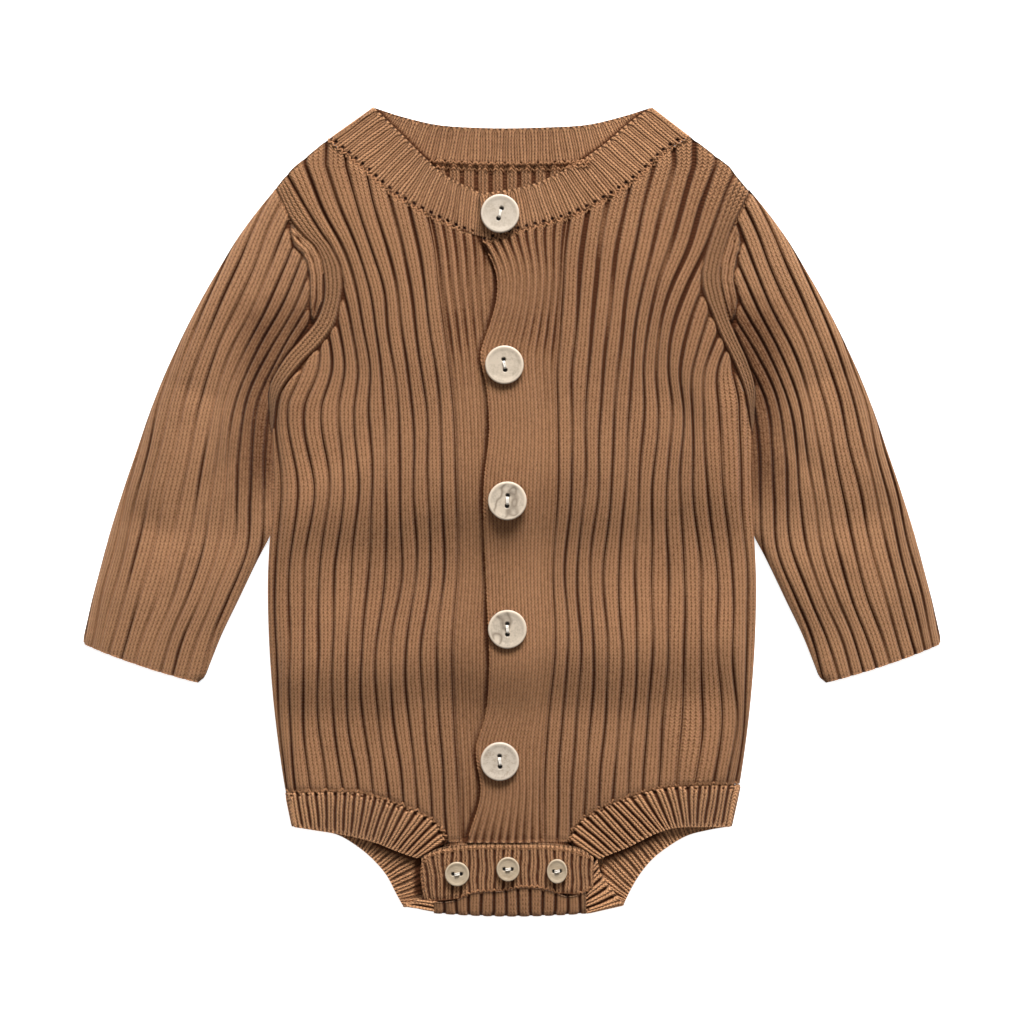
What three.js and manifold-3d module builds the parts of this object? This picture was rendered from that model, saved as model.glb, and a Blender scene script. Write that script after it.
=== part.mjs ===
// A baby's romper, knitted in wide ribs, buttoned and laid flat on its back.
// Millimetres, +Z up. The wearer's right side is at -X, the neck at +Y, the table at Z = 0.
import * as THREE from "three";
import Module from "manifold-3d";

const wasm = await Module();
wasm.setup();

// ---------------------------------------------------------------- driving sizes
const GAP = 0.3; // air between neighbouring pieces
const WALL = 1.8; // knitted wall in the furrow between two ribs
const RIB_RISE = 1.2; // how far a wide rib stands above the furrow
const BAND_RISE = 0.8; // how far a narrow rib of a band stands up
const RIB_EDGE = 0.17; // part of a rib's pitch that its flank takes
const FRONT_IN = WALL + GAP; // height of a front's inside over a flat back
const LAP = WALL + GAP; // extra height where one front laps the other

const NECK_PITCH = 5.5;
const LEG_PITCH = 4.4;
const CROTCH_PITCH = 3.9;

const STAND_EDGE = 5; // hidden front edge of the lower front
const LAP_END = 7; // where the upper front starts to sink to the back
const LAP_FOOT = 16; // where it has come down
const CROTCH_SEAM = -158; // foot of both fronts

// Half width of the body down its length.
const SIDE = [
  { y: 61, half: 115 },
  { y: 0, half: 115.4 },
  { y: -32, half: 117 },
  { y: -60, half: 116.5 },
  { y: -90, half: 114.4 },
  { y: -118, half: 111 },
  { y: -132, half: 108.8 },
  { y: -170, half: 100 },
];

// Armhole seam of each side, and the line inside it where the body's ribs end against the edge band.
const RIGHT_ARMHOLE = [
  { x: 113.2, y: 154.9, inX: 108, inY: 161.3 },
  { x: 105.2, y: 138, inX: 97.6, inY: 143.6 },
  { x: 99.8, y: 131.9, inX: 92, inY: 134.4 },
  { x: 95.2, y: 127.5, inX: 86.7, inY: 127 },
  { x: 92.1, y: 121.5, inX: 82.6, inY: 119 },
  { x: 90.4, y: 113, inX: 81, inY: 111.5 },
  { x: 90.4, y: 101, inX: 81.8, inY: 101.5 },
  { x: 94.4, y: 90.8, inX: 84.4, inY: 90 },
  { x: 101.3, y: 82.4, inX: 90.6, inY: 80.8 },
  { x: 109.8, y: 72.4, inX: 100, inY: 71.4 },
  { x: 115, y: 61.5, inX: 112.4, inY: 56.5 },
];
const LEFT_ARMHOLE = [
  { x: 114.2, y: 152.8, inX: 106.4, inY: 162 },
  { x: 111, y: 146.4, inX: 101.8, inY: 152.2 },
  { x: 107.6, y: 140, inX: 97.8, inY: 140.5 },
  { x: 103.9, y: 131, inX: 93.6, inY: 127.5 },
  { x: 101, y: 121, inX: 91, inY: 118.5 },
  { x: 99.6, y: 111, inX: 90.2, inY: 111 },
  { x: 101.2, y: 102.6, inX: 91.2, inY: 105 },
  { x: 104.4, y: 91, inX: 94.7, inY: 96.2 },
  { x: 108.4, y: 82, inX: 99.3, inY: 84.7 },
  { x: 112.4, y: 73.6, inX: 105.4, inY: 72.4 },
  { x: 115, y: 61.5, inX: 112.6, inY: 57.2 },
];

// Where the furrows of each front run down its length, out from the middle line: r0 is the edge of
// the plain strip, and r4, r8 and r12 lie that many ribs further out.
const RIGHT_RAILS = [
  { y: 166, r0: 45, r4: 79.5, r8: 120, r12: 160 },
  { y: 145, r0: 41, r4: 73.7, r8: 107.5, r12: 142 },
  { y: 126, r0: 37.2, r4: 67.4, r8: 94, r12: 122 },
  { y: 107, r0: 35.2, r4: 61.9, r8: 88.1, r12: 115 },
  { y: 87, r0: 32.4, r4: 59.3, r8: 83, r12: 112 },
  { y: 68, r0: 30, r4: 56.4, r8: 80, r12: 111 },
  { y: 49, r0: 28.1, r4: 54.5, r8: 82.8, r12: 113 },
  { y: 10, r0: 26.6, r4: 53.5, r8: 80.3, r12: 110.6 },
  { y: -28, r0: 26.2, r4: 53, r8: 84.7, r12: 113.5 },
  { y: -66, r0: 28.6, r4: 57.8, r8: 85.7, r12: 113 },
  { y: -104, r0: 27.6, r4: 56.4, r8: 85.2, r12: 111 },
  { y: -124, r0: 26.2, r4: 53.5, r8: 82.3, r12: 108.4 },
  { y: -160, r0: 25, r4: 50, r8: 78, r12: 101 },
];
const LEFT_RAILS = [
  { y: 166, r0: 33, r4: 68, r8: 108, r12: 152 },
  { y: 145, r0: 28, r4: 62.6, r8: 99.6, r12: 139 },
  { y: 126, r0: 25.2, r4: 58.8, r8: 92.6, r12: 127 },
  { y: 107, r0: 24.2, r4: 55.4, r8: 83.5, r12: 115 },
  { y: 87, r0: 22.8, r4: 52.6, r8: 77, r12: 106 },
  { y: 68, r0: 21.4, r4: 50.6, r8: 74.6, r12: 98.7 },
  { y: 49, r0: 21.8, r4: 49.2, r8: 76.4, r12: 98.6 },
  { y: 10, r0: 21.8, r4: 47.3, r8: 73.7, r12: 101 },
  { y: -28, r0: 19.5, r4: 43.9, r8: 74.6, r12: 105.4 },
  { y: -66, r0: 20.4, r4: 45.4, r8: 74.6, r12: 105.4 },
  { y: -104, r0: 17, r4: 44.4, r8: 71.8, r12: 106 },
  { y: -124, r0: 15.6, r4: 42.5, r8: 70.8, r12: 102.6 },
  { y: -160, r0: 15.6, r4: 40, r8: 68, r12: 94 },
];

// Free front edge of the upper front, which waves a little between its buttons.
const LAP_EDGE = [
  { y: 190, x: -15 },
  { y: 129, x: -14.4 },
  { y: 121, x: -9 },
  { y: 100, x: -8 },
  { y: 76, x: -14.6 },
  { y: 40, x: -10.8 },
  { y: 15, x: -13.2 },
  { y: -40, x: -12 },
  { y: -75, x: -10.8 },
  { y: -98, x: -12.8 },
  { y: -112, x: -17 },
  { y: -134, x: -15 },
  { y: -158, x: -21.6 },
];

// Seam of each front to the neckband, from the front edge to the shoulder.
const RIGHT_NECK = [
  { x: 5, y: 126 },
  { x: -6, y: 129.2 },
  { x: -16, y: 132.2 },
  { x: -22, y: 134 },
  { x: -40, y: 142.3 },
  { x: -56.4, y: 151.7 },
  { x: -72, y: 165.2 },
  { x: -86.6, y: 176.4 },
];
const LEFT_NECK = [
  { x: -14, y: 128.8 },
  { x: 0, y: 133.2 },
  { x: 15, y: 137.5 },
  { x: 30, y: 142.2 },
  { x: 46.3, y: 150.5 },
  { x: 60, y: 159.9 },
  { x: 74.6, y: 173.3 },
  { x: 83.4, y: 178.1 },
];
const SHOULDER = { x: 106.3, y: 163.4 };

// Seam of each front to its leg band, from the side to the crotch.
const RIGHT_LEG = [
  { x: -110, y: -134.4 },
  { x: -94, y: -133.8 },
  { x: -72, y: -134.4 },
  { x: -57.4, y: -138.8 },
  { x: -42, y: -145 },
  { x: -35.3, y: -149.9 },
  { x: -31.2, y: CROTCH_SEAM },
];
const LEFT_LEG = [
  { x: 111, y: -130.2 },
  { x: 92, y: -130.6 },
  { x: 70.3, y: -132.2 },
  { x: 54.5, y: -136.8 },
  { x: 38, y: -144 },
  { x: 30.4, y: -150 },
  { x: 27.2, y: CROTCH_SEAM },
];

// Soft cross folds of the fronts: how far the cloth stands off the back, down the length.
const FOLDS = [
  { y: 200, rise: 0.2 },
  { y: 150, rise: 0.8 },
  { y: 110, rise: 1.4 },
  { y: 80, rise: 1.6 },
  { y: 50, rise: 2.1 },
  { y: 30, rise: 3.1 },
  { y: 12, rise: 4.7 },
  { y: 4, rise: 5 },
  { y: -3, rise: 4.5 },
  { y: -10, rise: 2.7 },
  { y: -17, rise: 0.9 },
  { y: -25, rise: 0.3 },
  { y: -33, rise: 0.7 },
  { y: -45, rise: 2 },
  { y: -58, rise: 3.6 },
  { y: -70, rise: 4.8 },
  { y: -80, rise: 3.9 },
  { y: -87, rise: 2 },
  { y: -94, rise: 0.5 },
  { y: -101, rise: 0.3 },
  { y: -110, rise: 0.7 },
  { y: -125, rise: 1.3 },
  { y: -140, rise: 1 },
  { y: -158, rise: 0.3 },
  { y: -200, rise: 0 },
];
const FOLD_TILT = 0.08; // the folds climb a little towards the wearer's left
const FOLD_SETTLE = 11; // distance from the side over which they die out

// ---------------------------------------------------------------- working out
const lerp = THREE.MathUtils.lerp;
const smooth = (a, b, x) => THREE.MathUtils.smoothstep(x, a, b);

// Value of one column of a table at a given y; the table runs from high y to low y.
function down(table, y, column) {
  let i = 0;
  while (i < table.length - 2 && table[i + 1].y > y) {
    i += 1;
  }
  const high = table[i];
  const low = table[i + 1];
  const t = THREE.MathUtils.clamp((high.y - y) / (high.y - low.y), 0, 1);
  return lerp(high[column], low[column], t);
}

function foldRise(x, y) {
  const inset = down(SIDE, Math.min(y, 61), "half") - Math.abs(x);
  return down(FOLDS, y - FOLD_TILT * x, "rise") * smooth(0, FOLD_SETTLE, inset);
}

const lapRise = (x) => LAP * (1 - smooth(LAP_END, LAP_FOOT, x));

// Join a strip of columns on the outer face to one on the inner face along one end.
function zip(outer, inner, outerAt, innerAt, triangles) {
  let i = 0;
  let j = 0;
  while (i < outer.length - 1 || j < inner.length - 1) {
    const outerNext = i < outer.length - 1 ? outerAt[i + 1] : Infinity;
    const innerNext = j < inner.length - 1 ? innerAt[j + 1] : Infinity;
    if (outerNext <= innerNext) {
      triangles.push([outer[i], outer[i + 1], inner[j]]);
      i += 1;
    } else {
      triangles.push([outer[i], inner[j + 1], inner[j]]);
      j += 1;
    }
  }
}

// A closed wall between two faces. Each face has rows of points and one parameter per column.
function wall(outer, inner, closed = false) {
  const points = [...outer.rows.flat(), ...inner.rows.flat()];
  const triangles = [];
  const last = outer.rows.length - 1;
  const wide = outer.at.length;
  const slim = inner.at.length;
  const base = outer.rows.length * wide;
  const outerId = (r, c) => r * wide + (c % wide);
  const innerId = (r, c) => base + r * slim + (c % slim);
  const ring = closed ? 0 : 1;
  for (let r = 0; r < last; r += 1) {
    for (let c = 0; c < wide - ring; c += 1) {
      triangles.push([outerId(r, c), outerId(r + 1, c), outerId(r + 1, c + 1)]);
      triangles.push([outerId(r, c), outerId(r + 1, c + 1), outerId(r, c + 1)]);
    }
    for (let c = 0; c < slim - ring; c += 1) {
      triangles.push([innerId(r, c), innerId(r + 1, c + 1), innerId(r + 1, c)]);
      triangles.push([innerId(r, c), innerId(r, c + 1), innerId(r + 1, c + 1)]);
    }
    if (!closed) {
      const o = wide - 1;
      const n = slim - 1;
      triangles.push([outerId(r, 0), innerId(r, 0), innerId(r + 1, 0)]);
      triangles.push([outerId(r, 0), innerId(r + 1, 0), outerId(r + 1, 0)]);
      triangles.push([outerId(r, o), innerId(r + 1, n), innerId(r, n)]);
      triangles.push([outerId(r, o), outerId(r + 1, o), innerId(r + 1, n)]);
    }
  }
  const span = (count) => Array.from({ length: count + (closed ? 1 : 0) }, (_, c) => c);
  const outerAt = closed ? [...outer.at, 1] : outer.at;
  const innerAt = closed ? [...inner.at, 1] : inner.at;
  for (const row of [0, last]) {
    const cap = [];
    const o = span(wide).map((c) => outerId(row, c));
    const n = span(slim).map((c) => innerId(row, c));
    zip(o, n, outerAt, innerAt, cap);
    triangles.push(...(row === 0 ? cap : cap.map(([a, b, c]) => [a, c, b])));
  }
  return facingOut({ points, triangles });
}

function facingOut({ points, triangles }) {
  let volume = 0;
  for (const [a, b, c] of triangles) {
    volume += points[a].dot(points[b].clone().cross(points[c]));
  }
  return { points, triangles: volume < 0 ? triangles.map(([a, b, c]) => [a, c, b]) : triangles };
}

// An upright cutter over an outline.
function prism(outline, low, high) {
  const flat = outline.map((p) => new THREE.Vector2(p.x, p.y));
  if (THREE.ShapeUtils.isClockWise(flat)) {
    flat.reverse();
  }
  const faces = THREE.ShapeUtils.triangulateShape(flat, []);
  const n = flat.length;
  const points = [low, high].flatMap((z) => flat.map((p) => new THREE.Vector3(p.x, p.y, z)));
  const triangles = faces.flatMap(([a, b, c]) => [[a, c, b], [a + n, b + n, c + n]]);
  for (let i = 0; i < n; i += 1) {
    const j = (i + 1) % n;
    triangles.push([i, j, j + n], [i, j + n, i + n]);
  }
  return facingOut({ points, triangles });
}

function solid({ points, triangles }) {
  return new wasm.Manifold(new wasm.Mesh({
    numProp: 3,
    vertProperties: new Float32Array(points.flatMap((p) => [p.x, p.y, p.z])),
    triVerts: new Uint32Array(triangles.flat()),
  }));
}

function body(manifold) {
  const mesh = manifold.getMesh();
  const points = [];
  for (let i = 0; i < mesh.vertProperties.length; i += mesh.numProp) {
    points.push(new THREE.Vector3(...mesh.vertProperties.slice(i, i + 3)));
  }
  const triangles = [];
  for (let i = 0; i < mesh.triVerts.length; i += 3) {
    triangles.push([...mesh.triVerts.slice(i, i + 3)]);
  }
  return { points, triangles };
}

const romper = new THREE.Group();
romper.name = "knit_romper";

function piece(name, { points, triangles }, look) {
  const geometry = new THREE.BufferGeometry();
  const corners = triangles.flat().flatMap((i) => [points[i].x, points[i].y, points[i].z]);
  geometry.setAttribute("position", new THREE.Float32BufferAttribute(corners, 3));
  geometry.computeVertexNormals();
  const mesh = new THREE.Mesh(geometry, new THREE.MeshStandardMaterial(look));
  mesh.name = name;
  romper.add(mesh);
}

const wool = (color) => ({ color, roughness: 0.95, metalness: 0 });
const BODY_WOOL = wool(0x91694c);
const SLEEVE_WOOL = wool(0x8f6849);
const BAND_WOOL = wool(0x8d6648);
const LARGE_BUTTON = { color: 0xd2c4b4, roughness: 0.45, metalness: 0 };
const SMALL_BUTTON = { color: 0xc9b08c, roughness: 0.5, metalness: 0 };

// Columns of a run of ribs: furrow, flank, flank, furrow.
function ribColumns(from, to) {
  const columns = [];
  for (let rib = from; rib < to; rib += 1) {
    columns.push({ u: rib, rise: 0 });
    columns.push({ u: rib + RIB_EDGE, rise: 1 });
    columns.push({ u: rib + 1 - RIB_EDGE, rise: 1 });
  }
  columns.push({ u: to, rise: 0 });
  return columns;
}

// ---------------------------------------------------------------- back panel
// One flat wall; its foot turns up round the crotch and lies over the front's button band.
const BACK_NECK = [
  { x: 85.4, y: 175.4 },
  { x: 62, y: 169.9 },
  { x: 44, y: 167.2 },
  { x: 16, y: 165.5 },
];
const BACK_LEG = [
  { x: 92, y: -134.9 },
  { x: 79, y: -137 },
  { x: 65.6, y: -143.6 },
  { x: 53.5, y: -153 },
  { x: 44.4, y: -164 },
  { x: 38.4, y: -176.8 },
];
const BACK_LEG_TOP = { right: -133.9, left: -129.8 }; // where each leg's seam meets the side
const FLAP_HALF = 35; // half width of the turned-up end between the leg bands
const FLAP_FOLD = -194.2; // outermost line of the turn, at the middle
const FLAP_BOW = 1.6; // how much the turn draws back at its ends
const FLAP_RIBS = 12;
const FLAP_PATH = [
  { in: 16, bow: 1, turn: 180, lift: 0 },
  { in: 2.7, bow: 1, turn: 180, lift: 0 },
  { in: 2.7, bow: 1, turn: 135, lift: 0.2 },
  { in: 2.7, bow: 1, turn: 90, lift: 0.6 },
  { in: 2.7, bow: 1, turn: 45, lift: 1 },
  { in: 2.7, bow: 1, turn: 0, lift: 1.4 },
  { in: 10.4, bow: 0, turn: 0, lift: LAP },
];
const TURN_RADIUS = (WALL + GAP + 0.2) / 2;
const TURN_HEIGHT = WALL / 2 + TURN_RADIUS;

// Height and sideways reach of a wall that goes round a fold; offset runs from its inner face.
function turned(turn, lift, offset) {
  const angle = THREE.MathUtils.degToRad(turn);
  const reach = TURN_RADIUS + offset - WALL / 2;
  const up = (1 + Math.cos(angle)) / 2;
  return { out: reach * Math.sin(angle), z: TURN_HEIGHT + reach * Math.cos(angle) + lift * up, up };
}

const mirrored = (rows) => rows.map((p) => ({ ...p, x: -p.x }));

function backPanel() {
  const half = (armhole, top) => [
    ...BACK_NECK.slice().reverse(),
    { x: SHOULDER.x, y: SHOULDER.y },
    ...armhole,
    ...SIDE.filter((row) => row.y < 60 && row.y > top).map((row) => ({ x: row.half, y: row.y })),
    { x: down(SIDE, top, "half"), y: top },
    ...BACK_LEG,
    { x: FLAP_HALF, y: FLAP_FOLD + 12 },
  ];
  const right = mirrored(half(RIGHT_ARMHOLE, BACK_LEG_TOP.right));
  const outline = [...right, ...half(LEFT_ARMHOLE, BACK_LEG_TOP.left).reverse()];
  const flat = solid(prism(outline, 0, WALL));
  const columns = ribColumns(0, FLAP_RIBS);
  const point = (u, row, rise) => {
    const x = lerp(-FLAP_HALF, FLAP_HALF, u / FLAP_RIBS);
    const bow = row.bow * FLAP_BOW * (x / FLAP_HALF) ** 2;
    const up = turned(row.turn, row.lift, 0).up;
    const place = turned(row.turn, row.lift, rise === null ? 0 : WALL + RIB_RISE * rise * up);
    return new THREE.Vector3(x, FLAP_FOLD + bow + row.in - place.out, place.z);
  };
  const inner = [0, FLAP_RIBS / 2, FLAP_RIBS];
  const turn = solid(wall(
    {
      at: columns.map((c) => c.u),
      rows: FLAP_PATH.map((row) => columns.map((c) => point(c.u, row, c.rise))),
    },
    { at: inner, rows: FLAP_PATH.map((row) => inner.map((u) => point(u, row, null))) },
  ));
  return body(flat.add(turn));
}
piece("back_panel", backPanel(), BODY_WOOL);

// ---------------------------------------------------------------- fronts
// Each front is a ribbed wall with a plain edge down the middle, trimmed to its seams, and an
// unbroken edge band knitted along the armhole.
const ROWS = [190, 165, 148, 132, 116, 100, 84, 68, 54, 42, 30, 18, 9, 3, -4, -11, -18, -27, -40, -53, -64,
  -72, -79, -86, -94, -102, -113, -126, -141, -165];
const PLAIN = [-1, -0.5, -0.25, 0];

// Distance from the middle line of rib u of a front at height y; the fan ends just outside the side.
function railPlace(rails, last, u, y) {
  const side = down(SIDE, Math.min(y, 61), "half") + 0.8;
  const outermost = down(rails, y, "r12") + 8;
  const stops = [
    { u: 0, x: down(rails, y, "r0") },
    { u: 4, x: down(rails, y, "r4") },
    { u: 8, x: down(rails, y, "r8") },
    { u: 12, x: down(rails, y, "r12") },
    { u: last, x: lerp(side, outermost, smooth(50, 80, y)) },
  ];
  const i = Math.max(stops.findIndex((stop) => stop.u >= u), 1);
  const from = stops[i - 1];
  return lerp(from.x, stops[i].x, (u - from.u) / (stops[i].u - from.u));
}

function frontPanel({ side, rails, last, armhole, edge, neck, leg, lift, plain }) {
  const place = (u, y) => {
    const start = side * down(rails, y, "r0");
    return u < 0 ? plain.place(-u, start, y) : side * railPlace(rails, last, u, y);
  };
  const point = (u, y, offset) => {
    const x = place(u, y);
    return new THREE.Vector3(x, y, FRONT_IN + foldRise(x, y) + lift(x) + offset);
  };
  const ribs = Math.floor(last);
  const columns = [
    ...plain.columns,
    { u: -0.08, rise: 1 },
    ...ribColumns(0, ribs),
    { u: ribs + RIB_EDGE, rise: 1 },
    { u: last, rise: 1 },
  ];
  const pairs = Array.from({ length: Math.floor(ribs / 2) }, (_, i) => 2 * i + 2);
  const inner = [...PLAIN, ...pairs, last];
  const slab = solid(wall(
    {
      at: columns.map((c) => c.u),
      rows: ROWS.map((y) => columns.map((c) => point(c.u, y, WALL + RIB_RISE * c.rise))),
    },
    { at: inner, rows: ROWS.map((y) => inner.map((u) => point(u, y, 0))) },
  ));
  const flank = SIDE.filter((row) => row.y < 60 && row.y > leg[0].y);
  const outline = [
    ...neck,
    { x: side * (SHOULDER.x - 1.6), y: SHOULDER.y + 1.4 },
    ...armhole.map((row) => ({ x: side * row.inX, y: row.inY })),
    ...flank.map((row) => ({ x: side * row.half, y: row.y })),
    ...leg.map((p, i) => (i === 0 ? { x: side * down(SIDE, p.y, "half"), y: p.y } : p)),
    ...edgeLine(edge, neck[0].y),
  ];
  const trimmed = slab.intersect(solid(prism(outline, -1, 24)));
  return body(trimmed.add(armholeBand(side, armhole, lift)));
}

// Free front edge from the crotch up to the neck.
function edgeLine(edge, top) {
  const heights = LAP_EDGE.map((row) => row.y).filter((y) => y < top && y > CROTCH_SEAM);
  return [CROTCH_SEAM, ...heights.reverse()].map((y) => ({ x: edge(y), y }));
}

function armholeBand(side, armhole, lift) {
  const across = [
    { part: 0, rise: 0.2 },
    { part: 0.16, rise: 1 },
    { part: 0.84, rise: 1 },
    { part: 1.06, rise: 0 },
  ];
  const point = (row, part, offset) => {
    const x = side * lerp(row.x, row.inX, part);
    const y = lerp(row.y, row.inY, part);
    return new THREE.Vector3(x, y, FRONT_IN + foldRise(x, y) + lift(x) + offset);
  };
  const ends = [0, 1.06];
  return solid(wall(
    {
      at: across.map((c) => c.part),
      rows: armhole.map((row) => across.map((c) => point(row, c.part, WALL + RIB_RISE * c.rise))),
    },
    { at: ends, rows: armhole.map((row) => ends.map((part) => point(row, part, 0))) },
  ));
}

const lapEdge = (y) => down(LAP_EDGE, y, "x");

// The lower front's plain strip keeps the ribs' height until it goes under the upper front.
function standPlace(part, start, y) {
  const high = Math.max(lapEdge(y) - 2.6, start + 2);
  const low = Math.max(lapEdge(y) - 1, start + 3);
  const stops = [
    { part: 0, x: start },
    { part: 0.4, x: high },
    { part: 0.5, x: low },
    { part: 1, x: STAND_EDGE },
  ];
  const i = stops.findIndex((stop) => stop.part >= part);
  const from = stops[Math.max(i, 1) - 1];
  const to = stops[Math.max(i, 1)];
  return lerp(from.x, to.x, (part - from.part) / (to.part - from.part));
}

piece("front_right", frontPanel({
  side: -1,
  rails: RIGHT_RAILS,
  last: 12.5,
  armhole: RIGHT_ARMHOLE,
  edge: () => STAND_EDGE,
  neck: RIGHT_NECK,
  leg: RIGHT_LEG,
  lift: () => 0,
  plain: {
    place: standPlace,
    columns: [{ u: -1, rise: 0 }, { u: -0.5, rise: 0 }, { u: -0.4, rise: 1 }],
  },
}), BODY_WOOL);

piece("front_left", frontPanel({
  side: 1,
  rails: LEFT_RAILS,
  last: 13.6,
  armhole: LEFT_ARMHOLE,
  edge: lapEdge,
  neck: LEFT_NECK,
  leg: LEFT_LEG,
  lift: lapRise,
  plain: {
    place: (part, start, y) => lerp(start, lapEdge(y), part),
    columns: [{ u: -1, rise: 1 }, { u: -0.5, rise: 1 }, { u: -0.25, rise: 1 }],
  },
}), BODY_WOOL);

// ---------------------------------------------------------------- sleeves
// A flattened tube each, fitted between its four edges: armhole, upper fold, cuff, under-arm fold.
const SLEEVE = [
  { tx: 99, ty: 171, ux: 60, uy: 152, rise: 0.9 },
  { tx: 112.6, ty: 156, ux: 68, uy: 134, rise: 0.9 },
  { tx: 121.5, ty: 145, ux: 72, uy: 118, rise: 1.3 },
  { tx: 131, ty: 131.8, ux: 76, uy: 103, rise: 2 },
  { tx: 141.4, ty: 115, ux: 85, uy: 89, rise: 2.2 },
  { tx: 150.4, ty: 99.2, ux: 101, uy: 70, rise: 1.5 },
  { tx: 160, ty: 80.2, ux: 115.5, uy: 60, rise: 1.9 },
  { tx: 171.2, ty: 54.3, ux: 115.9, uy: 35, rise: 2.9 },
  { tx: 179.5, ty: 30.6, ux: 116.1, uy: 12, rise: 2.6 },
  { tx: 186.8, ty: 9, ux: 117, uy: -7, rise: 1.2 },
  { tx: 192.4, ty: -9, ux: 121.5, uy: -23, rise: 2.2 },
  { tx: 197.6, ty: -27.5, ux: 131, uy: -42, rise: 2.7 },
  { tx: 201.9, ty: -44, ux: 139.6, uy: -60, rise: 1.6 },
  { tx: 206, ty: -61, ux: 148, uy: -80.5, rise: 1.1 },
];
// How far inside the upper fold its furrows 2, 5, 8 and 11 run; the others lie evenly between.
const SLEEVE_RAILS = [
  { y: 171, r2: -12, r5: 8, r8: 31, r11: 52 },
  { y: 135, r2: -2.5, r5: 20, r8: 41, r11: 61 },
  { y: 116, r2: 1.5, r5: 24.5, r8: 44.4, r11: 63 },
  { y: 97, r2: 3.8, r5: 27.3, r8: 47, r11: 65 },
  { y: 78, r2: 5.7, r5: 27.3, r8: 45.6, r11: 61.6 },
  { y: 54, r2: 6.7, r5: 29.3, r8: 44.8, r11: 60 },
  { y: 30, r2: 11, r5: 33.1, r8: 49.2, r11: 65.5 },
  { y: 6, r2: 12.5, r5: 36.9, r8: 56.1, r11: 71 },
  { y: -18, r2: 16.8, r5: 39.8, r8: 61.4, r11: 80.5 },
  { y: -42, r2: 15.8, r5: 39, r8: 59, r11: 79 },
  { y: -61, r2: 14.9, r5: 35.6, r8: 54.8, r11: 77 },
  { y: -81, r2: 15, r5: 35, r8: 54, r11: 76 },
];
const SLEEVE_RIBS = 11;
const SLEEVE_EDGE = 0.03; // part of the width that each folded edge takes

// Where furrow u crosses one row of the sleeve, as a part of its width from the upper fold. Past
// either fold the furrows crowd together.
function sleevePlace(row, u) {
  const reach = (s) => {
    const y = lerp(row.ty, row.uy, s);
    const fold = SLEEVE.map((r) => ({ y: r.ty, x: r.tx }));
    const past = Math.max(-61 - y, 0) * 0.26;
    const inset = down(fold, y, "x") + past - lerp(row.tx, row.ux, s);
    const knot = THREE.MathUtils.clamp(Math.floor((u - 2) / 3), 0, 2);
    const near = down(SLEEVE_RAILS, y, `r${2 + 3 * knot}`);
    const far = down(SLEEVE_RAILS, y, `r${5 + 3 * knot}`);
    return inset - lerp(near, far, (u - 2 - 3 * knot) / 3);
  };
  let low = -1;
  let high = 2;
  for (let i = 0; i < 30; i += 1) {
    const half = (low + high) / 2;
    if (reach(half) < 0) {
      low = half;
    } else {
      high = half;
    }
  }
  return crowd(low, 0.12);
}

// Keep a place between the sleeve's folded edges, slowing down over the last part.
function crowd(s, part) {
  const near = SLEEVE_EDGE;
  if (s < part) {
    return near + (part - near) * Math.exp((s - part) / (part - near));
  }
  if (s > 1 - part) {
    return 1 - near - (part - near) * Math.exp((1 - part - s) / (part - near));
  }
  return s;
}

const sleeveRise = (row, s) => row.rise * Math.sin(Math.PI * s) ** 0.7;

function sleeve(side, armhole) {
  const point = (s, row, z) => new THREE.Vector3(
    side * lerp(row.tx, row.ux, s),
    lerp(row.ty, row.uy, s),
    z,
  );
  const ribs = ribColumns(0, SLEEVE_RIBS);
  const topPoint = (row, { u, rise }) => {
    const s = sleevePlace(row, u);
    return point(s, row, FRONT_IN + sleeveRise(row, s) + WALL + RIB_RISE * rise);
  };
  const outerLoop = [
    (row) => point(0, row, FRONT_IN),
    ...ribs.map((column) => (row) => topPoint(row, column)),
    (row) => point(1, row, FRONT_IN),
    ...[1 - SLEEVE_EDGE / 2, 0.5, SLEEVE_EDGE / 2].map((s) => (row) => point(s, row, 0)),
  ];
  const hollow = 1.3 * SLEEVE_EDGE;
  const spots = [0, 0.25, 0.5, 0.75, 1].map((part) => lerp(hollow, 1 - hollow, part));
  const innerLoop = [
    ...spots.map((s) => (row) => point(s, row, FRONT_IN + sleeveRise(row, s))),
    ...[1 - hollow, 0.5, hollow].map((s) => (row) => point(s, row, WALL)),
  ];
  const outerAt = [0, ...ribs.map(({ u }) => 0.01 + (0.48 * u) / SLEEVE_RIBS), 0.5, 0.52, 0.75, 0.98];
  const innerAt = [...spots.map((s) => 0.5 * s), 0.53, 0.75, 0.97];
  const tube = wall(
    { at: outerAt, rows: SLEEVE.map((row) => outerLoop.map((place) => place(row))) },
    { at: innerAt, rows: SLEEVE.map((row) => innerLoop.map((place) => place(row))) },
    true,
  );
  const seam = armhole.map((row) => ({ x: side * (row.x + 0.45), y: row.y }));
  const first = seam[0];
  const outline = [
    { x: first.x - side * 16, y: first.y + 22 },
    ...seam,
    { x: side * 115.4, y: -100 },
    { x: side * 230, y: -100 },
    { x: side * 230, y: first.y + 22 },
  ];
  return body(solid(tube).intersect(solid(prism(outline, -1, 20))));
}
piece("sleeve_right", sleeve(-1, RIGHT_ARMHOLE), SLEEVE_WOOL);
piece("sleeve_left", sleeve(1, LEFT_ARMHOLE), SLEEVE_WOOL);

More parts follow.
